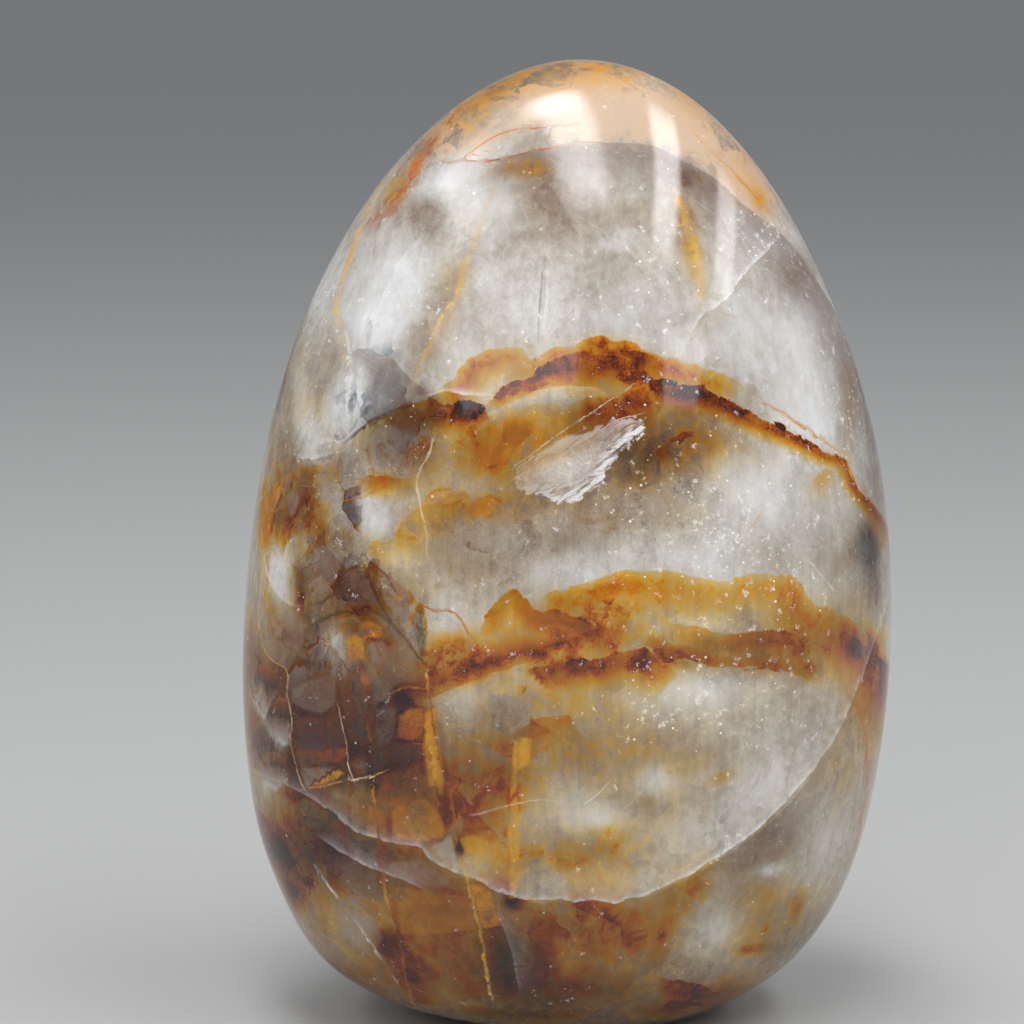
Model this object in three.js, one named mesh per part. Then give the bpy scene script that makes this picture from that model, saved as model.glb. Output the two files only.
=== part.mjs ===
// A polished golden healer quartz freeform: one egg-shaped stone, ground flat underneath so that it stands.
// Millimetres, +Z up, with its broad front face towards -Y and +X to the viewer's right.
// The origin is under the middle of the stone's width and depth, on the surface that it stands on.
import * as THREE from "three";
import { mergeVertices } from "three/addons/utils/BufferGeometryUtils.js";

// Driving dimensions of the finished stone.
const HEIGHT = 150;
const WIDTH = 101;
const DEPTH = 73;

// Cross sections are superellipses: 2 is a plain ellipse, and above 2 the faces are flatter with fuller shoulders.
const MIDDLE_FULLNESS = 2.22;
const POLE_FULLNESS = 2.0;

// The stone was ground by hand, so its sections turn a little about the upright axis from the base to the tip.
const BASE_TURN = THREE.MathUtils.degToRad(3);
const TIP_TURN = THREE.MathUtils.degToRad(-5);

// How finely the surface is divided.
const COLUMNS = 76;
const STEPS_PER_STATION = 4;

// Stations up the stone. height is a share of HEIGHT; left and right are shares of half of WIDTH,
// and front and back are shares of half of DEPTH, all measured from the upright axis.
// The first station is the rim of the flat underside, and the last is the tip.
const STATIONS = [
  { height: 0.0, left: 0.3, right: 0.38, front: 0.33, back: 0.33 },
  { height: 0.012, left: 0.445, right: 0.485, front: 0.445, back: 0.445 },
  { height: 0.035, left: 0.628, right: 0.61, front: 0.61, back: 0.61 },
  { height: 0.075, left: 0.781, right: 0.747, front: 0.77, back: 0.765 },
  { height: 0.14, left: 0.889, right: 0.869, front: 0.885, back: 0.88 },
  { height: 0.23, left: 0.969, right: 0.951, front: 0.965, back: 0.965 },
  { height: 0.36, left: 0.998, right: 1.0, front: 1.0, back: 1.0 },
  { height: 0.5, left: 0.97, right: 0.996, front: 0.975, back: 0.955 },
  { height: 0.63, left: 0.901, right: 0.936, front: 0.9, back: 0.865 },
  { height: 0.75, left: 0.784, right: 0.819, front: 0.775, back: 0.74 },
  { height: 0.86, left: 0.6, right: 0.65, front: 0.595, back: 0.57 },
  { height: 0.94, left: 0.381, right: 0.455, front: 0.39, back: 0.375 },
  { height: 0.985, left: 0.166, right: 0.254, front: 0.195, back: 0.19 },
  { height: 1.0, left: -0.043, right: 0.043, front: 0.0, back: 0.0 },
];
const REACHES = ["left", "right", "front", "back"];

// One value between two stations, by the Catmull-Rom rule on four neighbours.
function between(before, from, to, after, share) {
  const slopeFrom = (to - before) / 2;
  const slopeTo = (after - from) / 2;
  const square = share * share;
  const cube = square * share;
  return (
    from * (2 * cube - 3 * square + 1) +
    slopeFrom * (cube - 2 * square + share) +
    to * (3 * square - 2 * cube) +
    slopeTo * (cube - square)
  );
}

// The station past either end: it carries straight on below the rim, and comes down the far side past the tip.
function pastRim() {
  const [rim, next] = STATIONS;
  const made = { height: 2 * rim.height - next.height };
  for (const reach of REACHES) made[reach] = 2 * rim[reach] - next[reach];
  return made;
}

function pastTip() {
  const last = STATIONS[STATIONS.length - 2];
  return {
    height: last.height,
    left: -last.right,
    right: -last.left,
    front: -last.back,
    back: -last.front,
  };
}

// Every ring of the surface, from the rim of the underside to just below the tip.
function ringSections() {
  const stations = [pastRim(), ...STATIONS, pastTip()];
  const sections = [];
  for (let k = 1; k < stations.length - 2; k += 1) {
    for (let step = 0; step < STEPS_PER_STATION; step += 1) {
      const share = step / STEPS_PER_STATION;
      const four = stations.slice(k - 1, k + 3);
      const section = { height: between(...four.map((s) => s.height), share) };
      for (const reach of REACHES) {
        section[reach] = between(...four.map((s) => s[reach]), share);
      }
      sections.push(section);
    }
  }
  return sections;
}

// A signed power, which keeps the side of the axis that a cosine or sine is on.
function signedPower(value, power) {
  return Math.sign(value) * Math.abs(value) ** power;
}

// A point of one section's outline, at an angle from +X towards +Y.
function outlinePoint(section, angle) {
  const { height, left, right, front, back } = section;
  const belly = Math.sin(Math.PI * THREE.MathUtils.clamp(height, 0, 1));
  const fullness = THREE.MathUtils.lerp(POLE_FULLNESS, MIDDLE_FULLNESS, belly);
  const turn = THREE.MathUtils.lerp(BASE_TURN, TIP_TURN, height);
  const across = ((left + right) / 2) * signedPower(Math.cos(angle), 2 / fullness);
  const deep = ((front + back) / 2) * signedPower(Math.sin(angle), 2 / fullness);
  const x = (across * WIDTH) / 2;
  const y = (deep * DEPTH) / 2;
  return new THREE.Vector3(
    x * Math.cos(turn) - y * Math.sin(turn) + (((right - left) / 2) * WIDTH) / 2,
    x * Math.sin(turn) + y * Math.cos(turn) + (((back - front) / 2) * DEPTH) / 2,
    height * HEIGHT,
  );
}

// The middle of one section, on the stone's own bent axis.
function middlePoint(section) {
  return new THREE.Vector3(
    (((section.right - section.left) / 2) * WIDTH) / 2,
    (((section.back - section.front) / 2) * DEPTH) / 2,
    section.height * HEIGHT,
  );
}

// The closed surface: a flat fan underneath, the rings, and a fan up to the tip.
function stoneGeometry() {
  const sections = ringSections();
  const points = [middlePoint(STATIONS[0]), middlePoint(STATIONS[STATIONS.length - 1])];
  for (const section of sections) {
    for (let column = 0; column < COLUMNS; column += 1) {
      points.push(outlinePoint(section, (column / COLUMNS) * 2 * Math.PI));
    }
  }
  const [underside, tip] = [0, 1];
  const at = (ring, column) => 2 + ring * COLUMNS + (column % COLUMNS);
  const faces = [];
  for (let column = 0; column < COLUMNS; column += 1) {
    faces.push(underside, at(0, column + 1), at(0, column));
    for (let ring = 0; ring < sections.length - 1; ring += 1) {
      const [a, b] = [at(ring, column), at(ring, column + 1)];
      const [c, d] = [at(ring + 1, column), at(ring + 1, column + 1)];
      faces.push(a, b, d, a, d, c);
    }
    faces.push(tip, at(sections.length - 1, column), at(sections.length - 1, column + 1));
  }
  const surface = new THREE.BufferGeometry().setFromPoints(points);
  surface.setIndex(faces);
  return surface;
}

// Moves the footprint's middle to the origin and brings the sides to the stated width and depth.
function fitted(surface) {
  surface.computeBoundingBox();
  const { min, max } = surface.boundingBox;
  surface.translate(-(min.x + max.x) / 2, -(min.y + max.y) / 2, 0);
  surface.scale(WIDTH / (max.x - min.x), DEPTH / (max.y - min.y), 1);
  const merged = mergeVertices(surface);
  merged.computeVertexNormals();
  return merged;
}

// Milky quartz with iron staining, under a wet-looking polish.
const quartz = new THREE.MeshStandardMaterial({
  name: "iron_stained_quartz",
  color: new THREE.Color(0.66, 0.56, 0.44),
  roughness: 0.06,
  metalness: 0,
});

const stone = new THREE.Mesh(fitted(stoneGeometry()), quartz);
stone.name = "quartz_stone";

const freeform = new THREE.Group();
freeform.add(stone);

export default freeform;
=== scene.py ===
# Golden healer quartz freeform: the fine polished stone, its iron-stained quartz, and the studio around it.
# Metres, +Z up, front face towards -Y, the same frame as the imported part.
import math

import bpy
import numpy as np
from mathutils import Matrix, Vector


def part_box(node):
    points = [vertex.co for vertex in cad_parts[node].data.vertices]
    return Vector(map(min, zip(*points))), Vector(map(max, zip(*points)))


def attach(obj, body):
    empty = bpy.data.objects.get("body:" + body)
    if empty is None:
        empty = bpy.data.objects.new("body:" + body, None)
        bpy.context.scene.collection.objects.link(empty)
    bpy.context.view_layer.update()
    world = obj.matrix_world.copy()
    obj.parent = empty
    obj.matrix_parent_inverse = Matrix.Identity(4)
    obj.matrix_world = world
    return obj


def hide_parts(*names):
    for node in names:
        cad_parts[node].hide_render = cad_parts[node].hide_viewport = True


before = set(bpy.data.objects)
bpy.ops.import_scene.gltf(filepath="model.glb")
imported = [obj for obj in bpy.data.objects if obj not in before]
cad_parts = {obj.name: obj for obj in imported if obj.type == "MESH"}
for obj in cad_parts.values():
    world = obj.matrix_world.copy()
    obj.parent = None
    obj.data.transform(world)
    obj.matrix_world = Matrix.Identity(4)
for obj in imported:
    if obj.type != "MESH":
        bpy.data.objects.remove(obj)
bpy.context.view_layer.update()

mmPerMetre = 1000.0

# The camera stands where the photograph was taken from: aim and distance in metres, elevation in degrees,
# lens and sensor in mm, and the width of the photograph's frame in pixels.
photoCamera = {
    "aim": (-0.00844, 0.0, 0.0802),
    "distance": 0.56,
    "elevation": 9.0,
    "lens": 126.7,
    "sensor": 36.0,
    "frame": 1024,
}

# The stone's own shape. Each station is height, left, right, front and back:
# height is a share of the stone's height, the rest are shares of half its width or depth.
stone = {
    "node": "quartz_stone",
    "stations": [
        (0.0, 0.3, 0.38, 0.33, 0.33),
        (0.012, 0.445, 0.485, 0.445, 0.445),
        (0.035, 0.628, 0.61, 0.61, 0.61),
        (0.075, 0.781, 0.747, 0.77, 0.765),
        (0.14, 0.889, 0.869, 0.885, 0.88),
        (0.23, 0.969, 0.951, 0.965, 0.965),
        (0.36, 0.998, 1.0, 1.0, 1.0),
        (0.5, 0.97, 0.996, 0.975, 0.955),
        (0.63, 0.901, 0.936, 0.9, 0.865),
        (0.75, 0.784, 0.819, 0.775, 0.74),
        (0.86, 0.6, 0.65, 0.595, 0.57),
        (0.94, 0.381, 0.455, 0.39, 0.375),
        (0.985, 0.166, 0.254, 0.195, 0.19),
        (1.0, -0.043, 0.043, 0.0, 0.0),
    ],
    "middleFullness": 2.22,  # power of the section at half height; 2 is a plain ellipse
    "poleFullness": 2.0,
    "baseTurn": 3.0,  # degrees
    "tipTurn": -5.0,
    "rows": 252,
    "columns": 388,
    "outlineSteps": 4000,  # steps in which the outline is measured, to space the rows evenly
    "frontCrowding": 0.35,  # how much closer together the columns are on the front
}
boxLow, boxHigh = (np.array(corner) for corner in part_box(stone["node"]))
stoneSize = boxHigh - boxLow
stoneDepth, stoneHeight = stoneSize[1:] * mmPerMetre


def smoothstep(low, high, value):  # 0 below low, 1 above high, 3t^2 - 2t^3 between
    t = np.clip((value - low) / (high - low), 0.0, 1.0)
    return t * t * (3.0 - 2.0 * t)


def catmull(p0, p1, p2, p3, t):  # the cubic through p1 and p2 whose end slopes are (p2-p0)/2 and (p3-p1)/2
    m1, m2 = (p2 - p0) / 2, (p3 - p1) / 2
    return (p1 * (2 * t**3 - 3 * t**2 + 1) + m1 * (t**3 - 2 * t**2 + t)
            + p2 * (3 * t**2 - 2 * t**3) + m2 * (t**3 - t**2))


def stationsAt(place):  # the five station values at a fractional place, by the cubic through four neighbours
    known = np.array(stone["stations"])
    below = 2 * known[0] - known[1]
    height, left, right, front, back = known[-2]
    beyond = np.array([height, -right, -left, -back, -front])
    known = np.vstack([below, known, beyond])
    k = np.clip(np.floor(place).astype(int), 0, len(known) - 4)
    t = (place - k)[:, None]
    return catmull(known[k], known[k + 1], known[k + 2], known[k + 3], t)


def signedPower(value, power):  # |value|^power with value's sign
    return np.sign(value) * np.abs(value) ** power


# Superellipse sections: x = w cos(a)^(2/n), y = d sin(a)^(2/n), turned a little and moved to the section's
# middle.
def sectionPoints(stations, angle):
    height, left, right, front, back = (v[:, None] for v in stations.T)
    n = stone["poleFullness"] + (stone["middleFullness"] - stone["poleFullness"]) * np.sin(
        np.pi * np.clip(height, 0, 1))
    turn = np.radians(stone["baseTurn"] + (stone["tipTurn"] - stone["baseTurn"]) * height)
    halfWidth, halfDepth = stoneSize[:2] / 2
    x = (left + right) / 2 * signedPower(np.cos(angle), 2 / n) * halfWidth
    y = (front + back) / 2 * signedPower(np.sin(angle), 2 / n) * halfDepth
    return np.stack([
        x * np.cos(turn) - y * np.sin(turn) + (right - left) / 2 * halfWidth,
        x * np.sin(turn) + y * np.cos(turn) + (back - front) / 2 * halfDepth,
        height * stoneSize[2] + 0 * x,
    ], axis=-1)


# The grid of the whole surface: rows even along the outline, columns closer together on the front, and the
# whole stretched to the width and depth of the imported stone. ends are the middles of the underside and the
# tip.
def stoneGrid():
    places = np.linspace(0, len(stone["stations"]) - 1, stone["outlineSteps"])
    outline = sectionPoints(stationsAt(places), np.array([[0.0]]))[:, 0]
    length = np.concatenate([[0], np.cumsum(np.linalg.norm(np.diff(outline, axis=0), axis=1))])
    rows = np.interp(np.linspace(0, length[-1], stone["rows"] + 1)[:-1], length, places)
    t = np.arange(stone["columns"]) / stone["columns"] * 2 * np.pi
    angle = (t - stone["frontCrowding"] * np.cos(t))[None, :]
    grid = sectionPoints(stationsAt(rows), angle)
    ends = sectionPoints(stationsAt(places[[0, -1]]), np.array([[0.0, np.pi]])).mean(axis=1)
    middle = (grid.min(axis=(0, 1)) + grid.max(axis=(0, 1))) / 2
    stretch = stoneSize / (grid.max(axis=(0, 1)) - grid.min(axis=(0, 1)))
    for points in (grid, ends):
        points[..., :2] = (points[..., :2] - middle[:2]) * stretch[:2] + (boxLow + boxHigh)[:2] / 2
    return grid, ends


def stoneMesh(grid, ends):  # quads between neighbours, and a fan at the underside and at the tip
    rows, columns = grid.shape[:2]
    points = np.vstack([grid.reshape(-1, 3), ends])
    at = np.arange(rows * columns).reshape(rows, columns)
    after = np.roll(at, -1, axis=1)
    quads = np.stack([at[:-1], after[:-1], after[1:], at[1:]], axis=-1).reshape(-1, 4)
    under, tip = rows * columns, rows * columns + 1
    fans = np.vstack([
        np.stack([np.full(columns, under), after[0], at[0]], axis=-1),
        np.stack([np.full(columns, tip), at[-1], after[-1]], axis=-1),
    ])
    mesh = bpy.data.meshes.new("polishedStone")
    mesh.from_pydata(points.tolist(), [], quads.tolist() + fans.tolist())
    mesh.polygons.foreach_set("use_smooth", np.ones(len(quads) + len(fans), dtype=bool))
    mesh.update()
    return mesh


stoneData = stoneMesh(*stoneGrid())
polished = bpy.data.objects.new("polished_stone", stoneData)
bpy.context.collection.objects.link(polished)
print("stone surface:", len(stoneData.vertices), "points")

# Every point of the stone in mm; the whole pattern is worked out on them.
spots = np.empty(len(stoneData.vertices) * 3)
stoneData.vertices.foreach_get("co", spots)
spots = spots.reshape(-1, 3) * mmPerMetre


def cameraAxes():  # place, right, up and forward of the photo camera, from its aim, distance and elevation
    e = math.radians(photoCamera["elevation"])
    forward = np.array([0.0, math.cos(e), -math.sin(e)])
    right = np.array([1.0, 0.0, 0.0])
    place = np.array(photoCamera["aim"]) - forward * photoCamera["distance"]
    return place, right, np.cross(right, forward), forward


def photoPlaces(points):  # pinhole projection: frame/2 + focal * sideways / forwards, in pixels, y downwards
    place, right, up, forward = cameraAxes()
    half = photoCamera["frame"] / 2
    focal = photoCamera["lens"] / photoCamera["sensor"] * photoCamera["frame"]
    seen = points / mmPerMetre - place
    ahead = seen @ forward
    return np.stack([half + focal * (seen @ right) / ahead, half - focal * (seen @ up) / ahead], axis=-1)


# Which points the photograph shows: those whose normal turns towards the camera.
normals = np.empty(len(stoneData.vertices) * 3)
stoneData.vertices.foreach_get("normal", normals)
towards = cameraAxes()[0] * mmPerMetre - spots
facing = np.einsum("ij,ij->i", normals.reshape(-1, 3), towards) > 0
seenSpots = spots[facing]
seenPlaces = photoPlaces(seenSpots)

# How the pattern lies on the stone; lengths in mm.
laying = {
    "nearest": 4,  # points that a place of the photograph is read from
    "leastGap": 0.05,  # square pixels, so that a point that is met exactly gets no endless weight
    "roundRadius": 40.0,  # the stone's mean radius, for distances around it
    "cloudDepth": 14.0,  # how far a cloud reaches under the surface
    "waves": [(2.6, 15.0, 21.0, 1.3), (2.0, -26.0, 11.0, 0.7)],  # height, lengths along x and z, and start
    "wavesGrow": (18.0, 70.0),  # depths behind the front between which the waves grow
    "routeSteps": 4,  # steps between two points of a route
    "carriedOn": 8,  # a sheet with through is carried on by this many times its outermost three steps
    "endDepth": 12.0,  # over how much depth a sheet dies out past its reach
    "endFall": 1.5,  # how quickly a sheet dies out past the ends of its route
    "before": (3.0, 4.4),  # a sheet is kept up to here before its edge
    "after": (0.5, 2.5),  # and up to here past its fade
    "unseen": 0.02,  # strength below which a sheet gives way to any other
    "unseenCost": 60.0,
    "lineDepth": (8.0, 16.0),  # depths from its route between which a hairline dies out
    "lineEnd": (0.2, 1.2),  # and distances past its ends
    "paneReach": 5.0,  # how far outside a pane is still kept
    "paneMargin": 2.0,
}


def onFront(places):  # the surface at each place of the photograph: its nearest points, weighed by 1 / gap^2
    found = []
    for place in places:
        gap = np.sum((seenPlaces - np.array(place[:2])) ** 2, axis=1)
        near = np.argpartition(gap, laying["nearest"])[:laying["nearest"]]
        weight = 1 / (gap[near] + laying["leastGap"])
        found.append(weight @ seenSpots[near] / weight.sum())
    return np.array(found)


def allRound(azimuth, height):  # the surface at degrees round from the front and a share of the height
    turn = np.degrees(np.arctan2(spots[:, 0], -spots[:, 1]))
    off = np.radians((turn - azimuth + 180) % 360 - 180) * laying["roundRadius"]
    return spots[np.argmin(off**2 + (spots[:, 2] - height * stoneHeight) ** 2)]


# A sheet of staining runs through the stone, so it is followed in a plane that it is seen edge-on in:
# u = sideways + lean * depth and v = height + lean * depth, waving more the further back it goes.
def edgeOn(points, lean=(0.0, 0.0)):
    x, y, z = points.T
    behind = y + stoneDepth / 2
    wave = sum(rise * np.sin(x / longX + z / longZ + start) for rise, longX, longZ, start in laying["waves"])
    wave = wave * smoothstep(*laying["wavesGrow"], behind)
    return np.stack([x + lean[0] * behind + wave, z + lean[1] * behind + wave], axis=-1)


def smoothRoute(route, steps=laying["routeSteps"]):  # the cubic curve through the points of a route
    padded = np.vstack([2 * route[0] - route[1], route, 2 * route[-1] - route[-2]])
    t = (np.arange(steps) / steps)[:, None]
    pieces = [catmull(*padded[k:k + 4], t) for k in range(len(route) - 1)]
    return np.vstack(pieces + [route[-1:]])


# Distance to a route: the least over its steps of |p - nearest point|, positive on the left of travel;
# along is the share of the route at the nearest point.
def fromRoute(flat, route):
    best = np.full(len(flat), np.inf)
    turn = np.zeros(len(flat))
    along = np.zeros(len(flat))
    tie = 1e-4  # steps that are equally near: the one with the point more to its side wins
    for k in range(len(route) - 1):
        step = route[k + 1] - route[k]
        span = max(np.hypot(*step), 1e-6)
        off = flat - route[k]
        t = np.clip(off @ step / span**2, 0, 1)
        gap = np.hypot(*(off - t[:, None] * step).T)
        cross = (step[0] * off[:, 1] - step[1] * off[:, 0]) / span
        nearer = (gap < best - tie) | ((gap < best + tie) & (np.abs(cross) > np.abs(turn)))
        best = np.where(nearer, np.minimum(gap, best), best)
        turn = np.where(nearer, cross, turn)
        along = np.where(nearer, (k + t) / (len(route) - 1), along)
    return best * np.sign(turn), along


def spreadAlong(values, along):  # a few values spaced evenly along a route, joined by straight lines
    values = np.atleast_1d(np.array(values, dtype=float))
    return np.interp(along, np.linspace(0, 1, len(values)), values) if len(values) > 1 else np.full(
        len(along), values[0])


def keep(name, *columns):  # a field of one or three numbers on every point of the stone
    kind = "FLOAT" if len(columns) == 1 else "FLOAT_VECTOR"
    field = stoneData.attributes.new(name, kind, "POINT")
    values = np.stack(columns, axis=-1).astype(np.float32).ravel()
    field.data.foreach_set("value" if len(columns) == 1 else "vector", values)


def overwrite(fields, where, values):  # puts values into fields at the points where they win
    for field, value in zip(fields, values):
        field[where] = value[where]


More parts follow.
